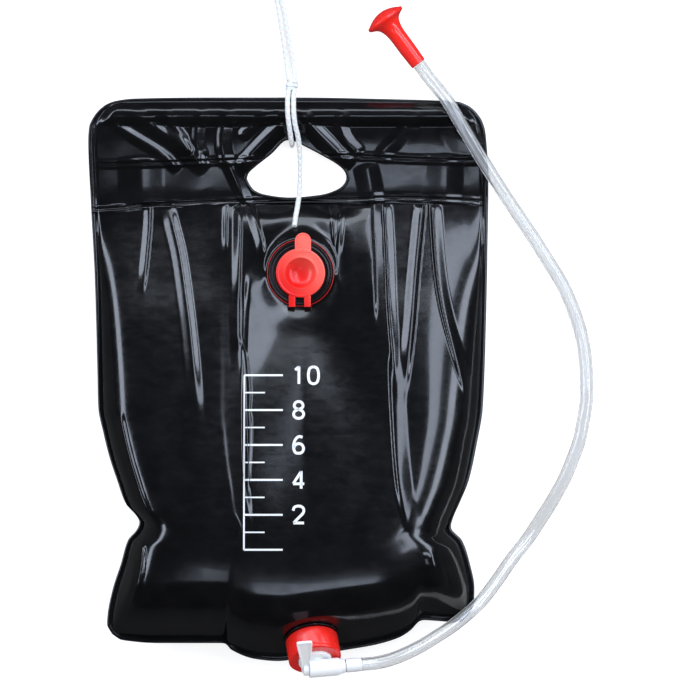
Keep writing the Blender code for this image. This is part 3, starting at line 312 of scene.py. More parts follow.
def make_finishes():
    """Each finish, by the short name under which the pieces ask for it."""
    soft = {"Subsurface_Weight": 0.15, "Subsurface_Scale": 0.002}
    return {
        "film": film_finish("film_black", 0.17),
        "back": film_finish("film_back_black", 0.26),
        "bead": film_finish("weld_bead_black", 0.16),
        "black": moulded_finish("filler_black", (0.004, 0.004, 0.005), (0.006, 0.006, 0.007), 0.27),
        "red": moulded_finish("moulded_red", (0.82, 0.020, 0.012), (0.76, 0.015, 0.010), 0.26,
                              Coat_Weight=0.2, **soft),
        "lid": lid_finish(),
        "tether": moulded_finish("tether_dark_red", (0.42, 0.012, 0.008), (0.34, 0.010, 0.007), 0.28,
                                 Coat_Weight=0.3),
        "white": moulded_finish("tap_white", (0.92, 0.925, 0.93), (0.88, 0.885, 0.89), 0.3, **soft),
        "rubber": moulded_finish("seal_rubber", (0.025, 0.025, 0.025), (0.035, 0.035, 0.034), 0.6),
        "bar": moulded_finish("bar_plastic", (0.6, 0.6, 0.58), (0.5, 0.5, 0.48), 0.45),
        "ink": moulded_finish("print_ink", (0.75, 0.76, 0.77), (0.68, 0.69, 0.70), 0.4),
        "hose": hose_finish(),
        "full_hose": moulded_finish("hose_on_barb", (0.90, 0.91, 0.92), (0.84, 0.85, 0.86), 0.1,
                                    Coat_Weight=0.6),
        "rope": rope_finish(),
    }


# Meshes

UP = (0, 0, 1.0)


def cells(count, around, closed, start):
    """Corner numbers of a grid's cells. With around its columns join up, with closed its rows do."""
    index = start + np.arange(count[0] * count[1]).reshape(count)
    if around:
        index = np.hstack([index, index[:, :1]])
    if closed:
        index = np.vstack([index, index[:1]])
    return np.stack([index[:-1, :-1], index[:-1, 1:], index[1:, 1:], index[1:, :-1]], axis=-1).reshape(-1, 4)


def build(name, grids, material, body, node=None, sharp=38, keep=None):
    """One piece of several grids, each (points, around, closed), joined where their points meet. It rides on
    a body, if one is named, and replaces a node.

    A grid's faces point to the side from which its columns run anticlockwise as its rows rise. keep says
    which cells stay, from their middles."""
    faces, start = [], 0
    for points, around, closed in grids:
        faces.append(cells(points.shape[:2], around, closed, start))
        start += points.shape[0] * points.shape[1]
    faces = np.concatenate(faces).astype(np.int32)
    places = np.concatenate([points.reshape(-1, 3) for points, *_ in grids]).astype(np.float32)
    if keep:
        faces = faces[keep(places[faces].mean(axis=1) / MM)]
        used, faces = np.unique(faces, return_inverse=True)
        places, faces = places[used], faces.reshape(-1, 4).astype(np.int32)
    mesh = bpy.data.meshes.new(name)
    mesh.vertices.add(len(places))
    mesh.vertices.foreach_set("co", places.ravel())
    mesh.loops.add(faces.size)
    mesh.loops.foreach_set("vertex_index", faces.ravel())
    mesh.polygons.add(len(faces))
    mesh.polygons.foreach_set("loop_start", np.arange(0, faces.size, 4, dtype=np.int32))
    mesh.update(calc_edges=True)
    work = bmesh.new()
    work.from_mesh(mesh)
    bmesh.ops.remove_doubles(work, verts=work.verts, dist=0.000002)
    work.to_mesh(mesh)
    work.free()
    mesh.validate()
    mesh.shade_smooth()
    mesh.set_sharp_from_angle(angle=math.radians(sharp))
    mesh.materials.append(material)
    obj = bpy.data.objects.new(name, mesh)
    bpy.context.scene.collection.objects.link(obj)
    if body:
        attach(obj, body)
    if node:
        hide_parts(node)
    return obj


def placed(points, matrix):
    """The points, given in the matrix's own axes and in millimetres, in metres in the frame."""
    turn = np.array(matrix)
    return (points * MM) @ turn[:3, :3].T + turn[:3, 3]


def soften(profile, reach, steps=4, closed=False):
    """The profile with each corner drawn as a parabola that starts reach before it, or just under half an
    edge where that is less."""
    corner = np.array(profile, float)
    before, after = np.roll(corner, 1, axis=0), np.roll(corner, -1, axis=0)
    back, ahead = before - corner, after - corner
    for side in (back, ahead):
        length = np.linalg.norm(side, axis=1, keepdims=True)
        side *= np.minimum(reach, length * 0.45) / np.maximum(length, 1e-9)
    if not closed:
        back[[0, -1]] = ahead[[0, -1]] = 0
    t = np.linspace(0, 1, steps + 1)[None, :, None]
    found = corner[:, None] + back[:, None] * (1 - t) ** 2 + ahead[:, None] * t**2
    if closed:
        return found.reshape(-1, 2)
    return np.vstack([corner[:1], found[1:-1].reshape(-1, 2), corner[-1:]])


def full_turn(count):
    """Angles of so many even places round a circle, from 0 on."""
    return np.linspace(0, 2 * np.pi, count, endpoint=False)


def turned(radius, height, sides=96):
    """Rows of points round Z, each row or point with its radius and height."""
    turn = full_turn(sides)
    return np.stack([radius * np.cos(turn), radius * np.sin(turn), height + 0 * turn], axis=-1)


def shell(points, frame, closed=False):
    """A grid for build: rows of points round closed rings, given in the frame's axes and in millimetres."""
    return placed(points, frame), True, closed


def lathe(profile, frame, reach=0, steps=4, closed=False, sides=96):
    """A grid for build: a profile of (radius, height), its corners softened, turned round the frame's Z."""
    profile = soften(profile, reach, steps, closed) if reach else np.array(profile, float)
    return shell(turned(profile[:, :1], profile[:, 1:], sides), frame, closed)


def sheet(points):
    """A grid for build with four free edges, from points in millimetres."""
    return points * MM, False, False


def smooth_route(route, step):
    """Even points, about a step apart, on a smooth curve through the route's, and the curve's length."""
    route = np.array(route, float)
    route = np.vstack([2 * route[0] - route[1], route, 2 * route[-1] - route[-2]])
    t = np.linspace(0, 1, 20, endpoint=False)[None, :, None]
    a, b, c, d = (route[n:len(route) - 3 + n][:, None] for n in range(4))
    dense = b + t * (c - a) / 2 + t**2 * (a - 5 / 2 * b + 2 * c - d / 2) + t**3 * (3 * (b - c) + d - a) / 2
    dense = np.vstack([dense.reshape(-1, route.shape[1]), route[-2:-1]])
    length = np.concatenate([[0], np.cumsum(np.linalg.norm(np.diff(dense, axis=0), axis=1))])
    at = np.linspace(0, length[-1], max(2, round(length[-1] / step)) + 1)
    return np.array([np.interp(at, length, dense[:, axis]) for axis in range(route.shape[1])]).T, length[-1]


def axes_along(path, up, closed=False):
    """Directions square to a path at each point: one square to up as well, and one over it, towards up."""
    if closed:
        ahead = np.roll(path, -1, axis=0) - np.roll(path, 1, axis=0)
    else:
        ahead = np.gradient(path, axis=0)
    across = np.cross(ahead, up)
    across /= np.linalg.norm(across, axis=1, keepdims=True)
    over = np.cross(across, ahead)
    return across, over / np.linalg.norm(over, axis=1, keepdims=True)


def carried(section, path, up, closed=False):
    """A section of (across, over) points, one for all or one for each path point, carried along a path."""
    across, over = axes_along(path, up, closed)
    section = np.broadcast_to(section, (len(path),) + section.shape[-2:])
    return path[:, None] + section[..., :1] * across[:, None] + section[..., 1:] * over[:, None]


def ring(radius, sides):
    """A round section, listed so that a tube's faces point outwards."""
    turn = full_turn(sides)
    return np.stack([radius * np.cos(turn), -radius * np.sin(turn)], axis=-1)


def oblong(width, height, corner, steps=3):
    """A rectangular section with round corners."""
    x, y = width / 2, height / 2
    return soften([(-x, y), (x, y), (x, -y), (-x, -y)], corner, steps, closed=True)


def rod_of(section, path, up, end=0.5):
    """A section carried along a path, with closed ends that draw in as a quarter circle does."""
    turn = np.linspace(0, np.pi / 2, 6)[:, None]
    ahead, last = (step / np.linalg.norm(step) for step in (path[1] - path[0], path[-1] - path[-2]))
    inset = end * (1 - np.cos(turn))
    whole = np.vstack([path[:1], path[0] + ahead * inset, path[1:-1],
                       path[-1] - last * inset[::-1], path[-1:]])
    size = 1 - end / np.abs(section).max() * (1 - np.sin(turn[:, 0]))
    sizes = np.concatenate([[0], size, np.ones(len(path) - 2), size[::-1], [0]])[:, None, None]
    at = np.concatenate([[0] * 7, np.arange(1, len(path) - 1), [len(path) - 1] * 7])
    across, over = (side[at][:, None] for side in axes_along(path, up))
    return whole[:, None] + sizes * (section[None, :, :1] * across + section[None, :, 1:] * over)


def slab(outline, core, profile):
    """A flat piece: each outline point is drawn in to its core point by the profile's (share, height) steps,
    from the middle of its underside out round its edge to the middle of its top."""
    outline, core = np.array(outline, float), np.array(core, float)
    share, height = np.array(profile, float).T
    flat = core[None] + (outline - core)[None] * share[:, None, None]
    return np.concatenate([flat, np.broadcast_to(height[:, None, None], flat.shape[:2] + (1,))], axis=-1)


# The bag's film, as the part's source shapes it

BAG_WIDTH, BAG_LENGTH, WALL, GAP = 313.0, 440.0, 0.6, 0.3
SEAM_WIDTH, SEAM_HEIGHT, CROWN_HEIGHT, BACK_CURVE = 3.6, 30.0, 84.0, 45.0
LEFT_EDGE = (
    (0.048, 0.061), (0.066, 0.0486), (0.087, 0.0511), (0.129, 0.0635), (0.172, 0.0834), (0.2145, 0.101),
    (0.232, 0.123), (0.2465, 0.1308), (0.261, 0.118), (0.278, 0.096), (0.321, 0.0735), (0.3635, 0.0535),
    (0.406, 0.0386), (0.4486, 0.0262), (0.5124, 0.0237), (0.6826, 0.0162), (0.81, 0.0062), (0.924, 0),
    (0.9486, 0.0025), (0.963, 0.0112), (0.9734, 0.0212), (0.9805, 0.0311), (0.9876, 0.0436),
)
RIGHT_EDGE = (
    (0.0833, 0.0473), (0.1046, 0.0374), (0.1294, 0.0361), (0.172, 0.0473), (0.2145, 0.0672), (0.225, 0.0822),
    (0.2358, 0.0959), (0.2535, 0.0897), (0.278, 0.0747), (0.321, 0.0498), (0.385, 0.03), (0.4486, 0.0149),
    (0.576, 0.0075), (0.725, 0.0025), (0.853, 0), (0.938, 0.0075), (0.959, 0.0162), (0.9734, 0.0299),
    (0.9805, 0.04), (0.9858, 0.05),
)
TOP_EDGE = (
    (0, 0.0124), (0.025, 0.0062), (0.08, 0.0018), (0.277, 0), (0.536, 0), (0.772, 0.0027), (0.97, 0.0071),
    (1, 0.0142),
)
BOTTOM_EDGE = (
    (0, 0.0479), (0.028, 0.0372), (0.128, 0.0319), (0.316, 0.0319), (0.332, 0.0204), (0.402, 0.0035),
    (0.464, 0), (0.561, 0.0098), (0.651, 0.0195), (0.732, 0.0284), (0.799, 0.0408), (0.832, 0.0532),
    (0.866, 0.0727), (0.933, 0.07), (0.972, 0.069), (1, 0.0833),
)
# Shares of the body's length from the bottom, of the seam's height at the bottom and of the crown's height
BODY = (
    (0.0785, 1, 0.821), (0.112, 1, 0.929), (0.154, 1, 0.988), (0.21, 0.985, 1), (0.3, 0.93, 0.964),
    (0.42, 0.82, 0.857), (0.53, 0.69, 0.73), (0.64, 0.54, 0.585), (0.75, 0.375, 0.425), (0.84, 0.25, 0.292),
    (0.92, 0.13, 0.21), (0.965, 0.06, 0.14),
)
# Shares of the body's length and of the crown's height, away from the crown's middle
GENTLE_SLOPE = ((0.84, 0.262), (0.92, 0.128), (0.965, 0.058))
HOLE_X, HOLE_WIDTH, HOLE_RISE, HOLE_FALL = 6.4, 81.0, 31.5, 15.8
HOLE_TOP = (
    (0, 0), (0.015, 0.14), (0.08, 0.31), (0.245, 0.645), (0.405, 1), (0.49, 0.97), (0.57, 0.865),
    (0.755, 0.615), (0.93, 0.34), (0.993, 0.14), (1, 0),
)
HOLE_BOTTOM = (
    (0, 0), (0.03, 0.3), (0.08, 0.62), (0.19, 0.85), (0.43, 1), (0.73, 0.87), (0.905, 0.58),
    (0.98, 0.25), (1, 0),
)
TOP = BAG_LENGTH / 2
HOLE_Y, LOWER_WELD_Y = TOP - 63.5, TOP - 83.5
BODY_LENGTH = LOWER_WELD_Y + TOP
SKIN = (WALL + GAP) / 2
WELD_HEIGHT = WALL / 2 + SKIN
HEM_SEAM, HEM_RADIUS, HEM_POINT, HEM_REACH, BAR_END = 1.7, 6.3, 1.3, 11, 0.905
BAR_HEIGHT, BAR_Y = 11.2, TOP - 3 - HEM_SEAM - HEM_RADIUS * HEM_POINT
HEM_FOOT, HEM_TOP = BAR_Y - HEM_RADIUS * HEM_POINT, BAR_Y + HEM_RADIUS * HEM_POINT
MARGIN = 1 - 2 * SEAM_WIDTH / BAG_WIDTH
FILLER = (9.6, 82.7, 24.0)
FILLER_SEAT, FILLER_CUT, OUTLET_CUT = 26.7, 17, 16.5
# The sides on which the film is kept of two cones from the flange's edge, and their slopes
FILLER_CONES = ((-1, 0.45), (1, -0.95))
OUTLET_X, OUTLET_INSET, OUTLET_SEAT, OUTLET_TILT = 18.0, 15.2, 21.8, math.radians(58)
# Powers to which the crown's cross-section falls on the left and on the right: higher is a steeper flank
CROWN_POWERS, CROWN_ROUNDNESS = (15.0, 8.0), 0.62
CROWN_X, CROWN_FLAT, CROWN_TURN = 8, 18, 56
LOOSE_REACH, FRONT_GROOVE, BACK_GROOVE = 14, 0.45, 0.3
EDGE_BEAD, HOLE_BEAD = (1.5, 1.05), (1.35, 1.5)  # half widths and half heights


def smooth(table, at):
    """The height at `at` of a curve through the table's pairs, which doesn't overshoot them."""
    across, up = np.array(table, float).T
    slopes = np.diff(up) / np.diff(across)
    before, after = slopes[:-1], slopes[1:]
    steady = before * after > 0
    inner = np.divide(2 * before * after, before + after, out=np.zeros(len(before)), where=steady)
    tangents = np.concatenate([slopes[:1], inner, slopes[-1:]])
    at = np.clip(at, across[0], across[-1])
    cell = np.clip(np.searchsorted(across, at, side="right") - 1, 0, len(slopes) - 1)
    width = np.diff(across)[cell]
    t = (at - across[cell]) / width
    rise = up[cell] * (1 - t) ** 2 * (1 + 2 * t) + up[cell + 1] * t**2 * (3 - 2 * t)
    return rise + width * (tangents[cell] * t * (1 - t) ** 2 - tangents[cell + 1] * t**2 * (1 - t))


def ease(t):
    """From 0 to 1 as t does, level at both ends."""
    t = np.clip(t, 0, 1)
    return t * t * (3 - 2 * t)


def side_edges(y):
    """X of the bag's left and right edge at a height Y: half its width, less each edge's share of it."""
    share = y / BAG_LENGTH + 1 / 2
    left, right = smooth(LEFT_EDGE, share), smooth(RIGHT_EDGE, share)
    return -BAG_WIDTH / 2 + BAG_WIDTH * left, BAG_WIDTH / 2 - BAG_WIDTH * right


def body_share(y):
    """How far up the body a height Y lies, from 0 at the bottom to 1 at the lower weld."""
    return np.clip((y + TOP) / BODY_LENGTH, 0, 1)


def lifts(y, way):
    """How far a point this way across lies above its row y: as the bottom edge below, the top edge above."""
    low = np.clip((1 - body_share(y)) / (1 - body_share(SEAM_WIDTH - TOP)), 0, 1) ** 2
    high = np.clip((y - BAR_Y) / (TOP - BAR_Y), 0, None) ** 2
    return low * BAG_LENGTH * smooth(BOTTOM_EDGE, way) - high * BAG_LENGTH * smooth(TOP_EDGE, way)


def row_ends(row):
    """X of the left and of the right end of each row."""
    return side_edges(row + lifts(row, 0 * row))[0], side_edges(row + lifts(row, 0 * row + 1))[1]


def grid_points(row, across):
    """X and Y of rows (a column of heights) and places across (a row, from -1 to 1)."""
    way = (across + 1) / 2
    left, right = row_ends(row)
    return left + (right - left) * way, row + lifts(row, np.broadcast_to(way, (len(row), way.shape[-1])))


def row_and_share(x, y):
    """The row and the place across that hold a point: each turn moves the row by what is still missing."""
    row = np.array(y, float)
    for _ in range(25):
        left, right = row_ends(row)
        way = (x - left) / (right - left)
        row = row + (y - row - lifts(row, np.clip(way, 0, 1))) * 0.8
    return row, 2 * way - 1


def seam_height(y):
    """Height of the seam's plane over the floor, as shares of its height at the bottom."""
    table = [(0, 1)] + [row[:2] for row in BODY] + [(1, WELD_HEIGHT / SEAM_HEIGHT)]
    return SEAM_HEIGHT * smooth(table, body_share(y))


def crown_height(y, x):
    """The crown's height along the bag, and away from its middle a gentler slope up to the lower weld."""
    foot = (float(body_share(SEAM_WIDTH - TOP)), (SEAM_HEIGHT + SKIN) / CROWN_HEIGHT)
    table = [foot] + [(row[0], row[2]) for row in BODY] + [(1, (WELD_HEIGHT + SKIN) / CROWN_HEIGHT)]
    gentle = [row for row in table if row[0] < GENTLE_SLOPE[0][0]] + [*GENTLE_SLOPE, table[-1]]
    aside = ease((np.abs(x - CROWN_X) - CROWN_FLAT) / CROWN_TURN)
    share = body_share(y)
    return CROWN_HEIGHT * (smooth(table, share) * (1 - aside) + smooth(gentle, share) * aside)


def bottom_edge(x):
    """Y of the bottom edge at a place X, which counts as a share of the way between its two corners."""
    left = side_edges(BAG_LENGTH * BOTTOM_EDGE[0][1] - TOP)[0]
    right = side_edges(BAG_LENGTH * BOTTOM_EDGE[-1][1] - TOP)[1]
    return BAG_LENGTH * smooth(BOTTOM_EDGE, (x - left) / (right - left)) - TOP


def outlet_frame():
    """Axes of the outlet, in metres: X along the seam, Z out along the spout, at the film's outer face."""
    rise = float(bottom_edge(OUTLET_X + OUTLET_SEAT) - bottom_edge(OUTLET_X - OUTLET_SEAT))
    turn = math.atan2(rise, 2 * OUTLET_SEAT)
    axes = Matrix.Rotation(turn, 4, "Z") @ Matrix.Rotation(OUTLET_TILT, 4, "X")
    height = SEAM_HEIGHT + SKIN + (OUTLET_INSET - SEAM_WIDTH) * math.tan(OUTLET_TILT)
    place = Vector((OUTLET_X, float(bottom_edge(OUTLET_X)) + OUTLET_INSET / math.cos(turn), height))
    return Matrix.Translation((place + axes.to_3x3() @ Vector((0, 0, WALL / 2))) * MM) @ axes


OUTLET = outlet_frame()
FILLER_FRAME = Matrix.Translation((FILLER[0] * MM, FILLER[1] * MM, (FILLER[2] + WALL / 2) * MM))


def open_hole(x, y, above):
    """Y of the points once the slit at the hole's line is drawn open, above it or below it."""
    far, reach, table = (HEM_FOOT, HOLE_RISE, HOLE_TOP) if above else (LOWER_WELD_Y, -HOLE_FALL, HOLE_BOTTOM)
    edge = HOLE_Y + reach * smooth(table, np.clip((x - HOLE_X) / HOLE_WIDTH + 1 / 2, 0, 1))
    return far + (y - far) * (edge - far) / (HOLE_Y - far)


# Folds of the front: height, width to the left and to the right, then the pixels that the crest runs through
FOLDS = (
    (3.0, 6.4, 5.0, (166, 197), (172, 225), (179, 254), (186, 300), (191, 340), (200, 430)),
    (2.3, 5.0, 1.7, (149, 198), (149, 224), (146, 262), (142, 300)),
    (2.6, 5.4, 1.8, (238, 192), (240, 220), (239, 270), (238, 320), (240, 380)),
    (1.5, 3.2, 1.3, (226, 194), (226, 258)),
    (2.6, 5.6, 1.6, (250, 192), (254, 214), (262, 240), (267, 272)),
    (1.6, 3.6, 1.6, (236, 330), (246, 356), (250, 392), (248, 430)),
    (5.3, 4.4, 37.0, (252, 262), (250, 310), (248, 365), (248, 410), (250, 470), (262, 560)),
    (1.4, 3.4, 2.0, (250, 410), (250, 450), (247, 500)),
    (1.9, 1.4, 3.6, (331, 194), (334, 240), (335, 310)),
    (4.2, 23.0, 2.0, (371, 192), (371, 225), (373, 262), (375, 330)),
    (1.7, 1.3, 3.2, (344, 192), (340, 225), (337, 266)),
    (2.8, 1.7, 5.4, (384, 190), (387, 250), (390, 320), (398, 410)),
    (3.9, 6.4, 3.0, (424, 190), (416, 270), (411, 330), (402, 410)),
    (3.4, 2.0, 6.6, (432, 190), (436, 260), (442, 305), (453, 350), (470, 410)),
    (1.9, 1.6, 3.8, (482, 194), (483, 250), (483, 320)),
    (3.6, 3.0, 9.0, (392, 345), (393, 400), (399, 486), (412, 540)),
    (2.4, 6.0, 7.0, (430, 548), (442, 600)),
    (2.6, 4.6, 2.6, (120, 410), (128, 446), (136, 474), (146, 503), (160, 530)),
    (4.6, 9.0, 3.0, (133, 514), (143, 548), (139, 584), (126, 618)),
    (2.2, 4.0, 3.0, (134, 556), (131, 585), (118, 614)),
    (2.4, 5.0, 4.0, (476, 520), (452, 527), (424, 532)),
)
# The same for the top, between the lower weld and the hem
WRINKLES = (
    (4.0, 5.6, 8.0, (296, 108), (280, 124), (258, 146), (234, 172)),
    (2.6, 4.2, 6.0, (282, 106), (268, 114), (250, 126), (238, 138)),
    (2.2, 4.4, 7.0, (232, 106), (224, 120), (221, 142), (226, 168)),
    (1.9, 4.0, 5.6, (203, 107), (197, 124), (196, 144), (204, 160)),
    (3.6, 7.6, 5.6, (126, 107), (150, 123), (178, 143), (208, 170)),
    (2.2, 5.0, 4.0, (108, 120), (134, 136), (160, 152), (180, 171)),
    (2.3, 6.4, 4.6, (162, 104), (170, 120), (184, 140), (192, 154)),
    (3.8, 8.0, 5.8, (298, 108), (316, 130), (338, 152), (352, 168)),
    (1.7, 5.0, 6.0, (344, 108), (340, 124), (346, 140), (362, 156)),
    (1.2, 4.4, 8.0, (420, 108), (402, 130), (376, 158)),
    (1.2, 12.0, 8.0, (444, 108), (456, 128), (478, 158)),
    (1.7, 16.0, 15.0, (140, 154), (141, 184), (143, 212)),
    (1.9, 4.4, 6.0, (226, 160), (236, 182), (248, 208)),
    (1.3, 10.0, 8.0, (366, 162), (371, 184), (375, 212)),
    (1.1, 15.0, 12.0, (446, 152), (446, 180), (444, 212)),
)
LOWER_WELD = (
    (84, 209.5), (128, 206.5), (150, 204), (250, 200), (300, 199), (345, 199), (400, 197), (478, 200.5),
    (492, 202),
)
UPPER_WELD = (
    (84, 164), (180, 161.3), (250, 159), (300, 157), (345, 155), (395, 157.5), (440, 159), (492, 160),
)


def from_pixels(line):
    """Places on the bag, in millimetres, of pixels in the photograph's frame."""
    return (np.array(line, float) - MIDDLE_PIXEL) * (PIXEL / MM, -PIXEL / MM)


def along(line, x, y):
    """Distance of each place from a line of pixels, positive on its right where it runs down the picture, and
    the share of the line's length."""
    line = smooth_route(from_pixels(line), 8)[0]
    step = np.diff(line, axis=0)
    long = np.linalg.norm(step, axis=1)
    start = np.concatenate([[0], np.cumsum(long)[:-1]])
    best, side, share = np.full(np.shape(x), 1e9), np.zeros(np.shape(x)), np.zeros(np.shape(x))
    for (px, py), (dx, dy), length, before in zip(line, step, long, start):
        t = np.clip(((x - px) * dx + (y - py) * dy) / length**2, 0, 1)
        away = np.hypot(x - px - t * dx, y - py - t * dy)
        closer = away < best
        best = np.where(closer, away, best)
        side = np.where(closer, np.sign(dx * (y - py) - dy * (x - px)), side)
        share = np.where(closer, (before + t * length) / long.sum(), share)
    return best * side, share


def ridges(table, x, y, fade=0.34):
    """Sum of crests: each a tent across its line, with even flanks, a rounded top and soft feet, rising over
    its first eighth and dying away over its last third, or the share that fade gives."""
    found = np.zeros(np.shape(x))
    for height, left, right, *line in table:
        away, share = along(line, x, y)
        away = np.sqrt((away / np.where(away > 0, right, left)) ** 2 + 0.045)
        rise = np.clip(1.21 - away, 0, None)
        found += height * rise**2 / (rise + 0.11) * ease(share / 0.12) * ease((1 - share) / fade)
    return found


def ripple(x, y, scale, seed):
    """Slow unevenness between -1 and 1: the mean of six waves that run different ways."""
    found = 0
    for n, turn in enumerate(seed + np.arange(6) * 2.4):
        found = found + np.sin((x * math.cos(turn) + y * math.sin(turn)) / scale * (1 + 0.23 * n)
                               + turn * 3.7)
    return found / 6


def weld_line(line, x, y):
    """A pressed line: a groove between two low lips, which swell and sink along it."""
    away = along(line, x, y)[0]
    swell = 1 + 0.6 * ripple(x, y, 6.0, 1.3)
    return 0.85 * swell * np.exp(-((np.abs(away) - 2.1) / 1.1) ** 2) - 0.4 * np.exp(-(away / 0.9) ** 2)


def from_filler(x, y):
    """How far each place lies outside the filler's flange, drawn out a little unevenly round it."""
    away = np.hypot(x - FILLER[0], y - FILLER[1]) - FILLER_SEAT - 0.5
    turn = np.arctan2(y - FILLER[1], x - FILLER[0])
    return np.clip(away, 0, None) * (1 + 0.10 * np.sin(3 * turn + 0.8) + 0.06 * np.sin(7 * turn))


def held_by_filler(found, away):
    """The film between two cones from the flange's edge, one up and one down, their meetings rounded off."""
    soft = 9 * ease(away / 24) + 0.001
    for side, slope in FILLER_CONES:
        cone = FILLER[2] + slope * away
        found = (found + cone + side * np.sqrt((found - cone) ** 2 + soft**2)) / 2
    return found


def outlet_height(x, y):
    """Height of the film's middle on the flat round the outlet, and how much the film follows it there."""
    axis = OUTLET.col[2].to_3d()
    place = OUTLET.translation / MM - axis * WALL / 2
    flat = place.z - (axis.x * (x - place.x) + axis.y * (y - place.y)) / axis.z
    away = np.sqrt((x - place.x) ** 2 + (y - place.y) ** 2 + (flat - place.z) ** 2)
    return flat, ease((OUTLET_SEAT + 13 - away) / 12.5)


def from_side(across):
    """How far each place lies inside the seam at the bag's sides."""
    return (MARGIN - np.abs(across)) * BAG_WIDTH / 2


def from_edge(row, across):
    """The same, and inside the seam at the bottom."""
    return np.minimum(from_side(across), row + TOP - SEAM_WIDTH)


def edge_groove(depth, inward):
    """Depth of the groove along the edge weld: a bell curve centred just inside the seam."""
    return depth * np.exp(-((inward - 1.2) / 1.1) ** 2)


def front_body(row, across, x, y):
    """Height of the front's outer face below the lower weld: a crown, its folds and the hold of the ports."""
    rim = seam_height(row) + SKIN
    power = np.where(across < 0, *CROWN_POWERS)
    shape = np.clip(1 - (np.abs(across) / MARGIN) ** power, 0, 1) ** CROWN_ROUNDNESS
    found = rim + (crown_height(row, x) - rim) * np.where(row > SEAM_WIDTH - TOP, shape, 0)
    inward, away = from_edge(row, across), from_filler(x, y)
    flat, outlet = outlet_height(x, y)
    outlet = outlet * ease((inward + 0.5) / 3)
    loose = ease(inward / LOOSE_REACH) * ease(away / LOOSE_REACH) * (1 - outlet)
    folds = ridges(FOLDS, x, y) * ease((LOWER_WELD_Y - row) / 3 + 0.25) + 0.5 * ripple(x, y, 17.0, 0.4)
    found = held_by_filler(found + loose * folds, away)
    found = found + (flat - found) * outlet
    groove = edge_groove(FRONT_GROOVE, inward) * (inward > -0.5)
    return found + WALL / 2 - groove + weld_line(LOWER_WELD, x, y)


def band_height(y):
    """Height of the seam's plane above the lower weld: it eases up to the bar's at the hem's foot."""
    return WELD_HEIGHT + (BAR_HEIGHT - WELD_HEIGHT) * ease((y - LOWER_WELD_Y) / (HEM_FOOT - LOWER_WELD_Y))


def hem_bulge(row, across):
    """How far each film stands off the seam's plane at the bar: a soft arch, drawn in past the bar's ends."""
    reach = HEM_RADIUS * np.clip(1 - ((row - BAR_Y) / HEM_REACH) ** 2, 0, 1) ** 1.5
    taper = ease((MARGIN - np.abs(across)) / (MARGIN - BAR_END))
    return np.maximum(SKIN + (reach - SKIN) * taper, SKIN)


def front_band(row, across, x, y):
    """Height of the front's outer face above the lower weld: the hem, wrinkles, puckers and both welds."""
    inward = from_side(across)
    edge = ease(inward / 10)
    free = edge * ease((y - LOWER_WELD_Y) / 3)
    in_hem = ease((row - HEM_FOOT + 3) / 6)
    slack = ridges(WRINKLES, x, y, 0.14) * (1 - 0.8 * in_hem) + 0.25 * ripple(x, y, 9.0, 2.1)
    pucker = 0.2 * ripple(x, y, 9.0, 0.9) * np.exp(-((row - HEM_FOOT) / 3) ** 2)
    found = band_height(y) + hem_bulge(row, across) + WALL / 2 + free * (np.clip(slack, -0.1, None) + pucker)
    found = found + (weld_line(LOWER_WELD, x, y) + weld_line(UPPER_WELD, x, y)) * edge
    return found - edge_groove(FRONT_GROOVE, inward)


def back_body(row, across, x, y):
    """Height of the back's outer face below the lower weld: flat on the floor, and up to the seam."""
    rim = seam_height(row) - SKIN
    inward = from_edge(row, across)
    found = rim - (rim - WALL / 2) * ease(inward / BACK_CURVE) - WALL / 2
    crease = ease(inward / 6) * ease((BACK_CURVE - inward) / 25)
    return np.maximum(found + crease * (0.8 * ripple(x, y, 11.0, 5.0) + 0.35 * ripple(x, y, 4.5, 3.0)), 0)


def back_band(row, across, x, y):
    """The same above the lower weld: along the band's plane and round the bar."""
    return band_height(y) - hem_bulge(row, across) - WALL / 2 + edge_groove(BACK_GROOVE, from_side(across))


def spaced(stops, steps):
    """Heights from each stop to the next, in that many even steps."""
    parts = [np.linspace(low, high, count, endpoint=False)
             for low, high, count in zip(stops, stops[1:], steps)]
    return np.concatenate(parts + [stops[-1:]])


def places_across(count):
    """Places across the bag, closer together towards the sides and the ends of the handle hole."""
    fine = np.linspace(-MARGIN, MARGIN, 20001)
    left, right = side_edges(HOLE_Y)
    ends = [(2 * (HOLE_X + side * HOLE_WIDTH / 2) - left - right) / (right - left) for side in (-1, 1)]
    density = 1 + 2.6 * (np.abs(fine) / MARGIN) ** 12
    for end in ends:
        density += 5 * np.exp(-((fine - end) / 0.012) ** 2) + 0.6 * np.exp(-((fine - end) / 0.05) ** 2)
    total = np.concatenate([[0], np.cumsum((density[1:] + density[:-1]) / 2)])
    found = np.interp(np.linspace(0, total[-1], count), total, fine)
    for end in ends:
        found[np.argmin(np.abs(found - end))] = end
    return np.concatenate([[-1, -1 + (1 - MARGIN) / 2], found, [1 - (1 - MARGIN) / 2, 1]])


ACROSS = places_across(400)
BODY_STOPS = np.array([-TOP, SEAM_WIDTH - TOP, 45 - TOP, 90.0, LOWER_WELD_Y - 6, LOWER_WELD_Y])
BODY_ROWS = spaced(BODY_STOPS, (3, 42, 128, 30, 8))
# Below the handle hole's line, above it, and the hem; and on which side of the line each lies
BAND_ROWS = tuple(spaced(np.array(stops), steps) for stops, steps in (
    ((LOWER_WELD_Y, HOLE_Y), (24,)), ((HOLE_Y, HEM_FOOT), (46,)), ((HEM_FOOT, HEM_TOP, TOP), (26, 6))))
BAND_ABOVE = (False, True, None)


def face_grid(rows, across, height, above=None):
    """A sheet of a face: x and y of rows and places across, drawn open at the handle hole where above is
    given, and the face's height there."""
    rows = rows[:, None]
    x, y = grid_points(rows, across[None])
    if above is not None:
        y = open_hole(x, y, above)
    return sheet(np.stack([x, y, height(rows, across[None], x, y)], axis=-1))


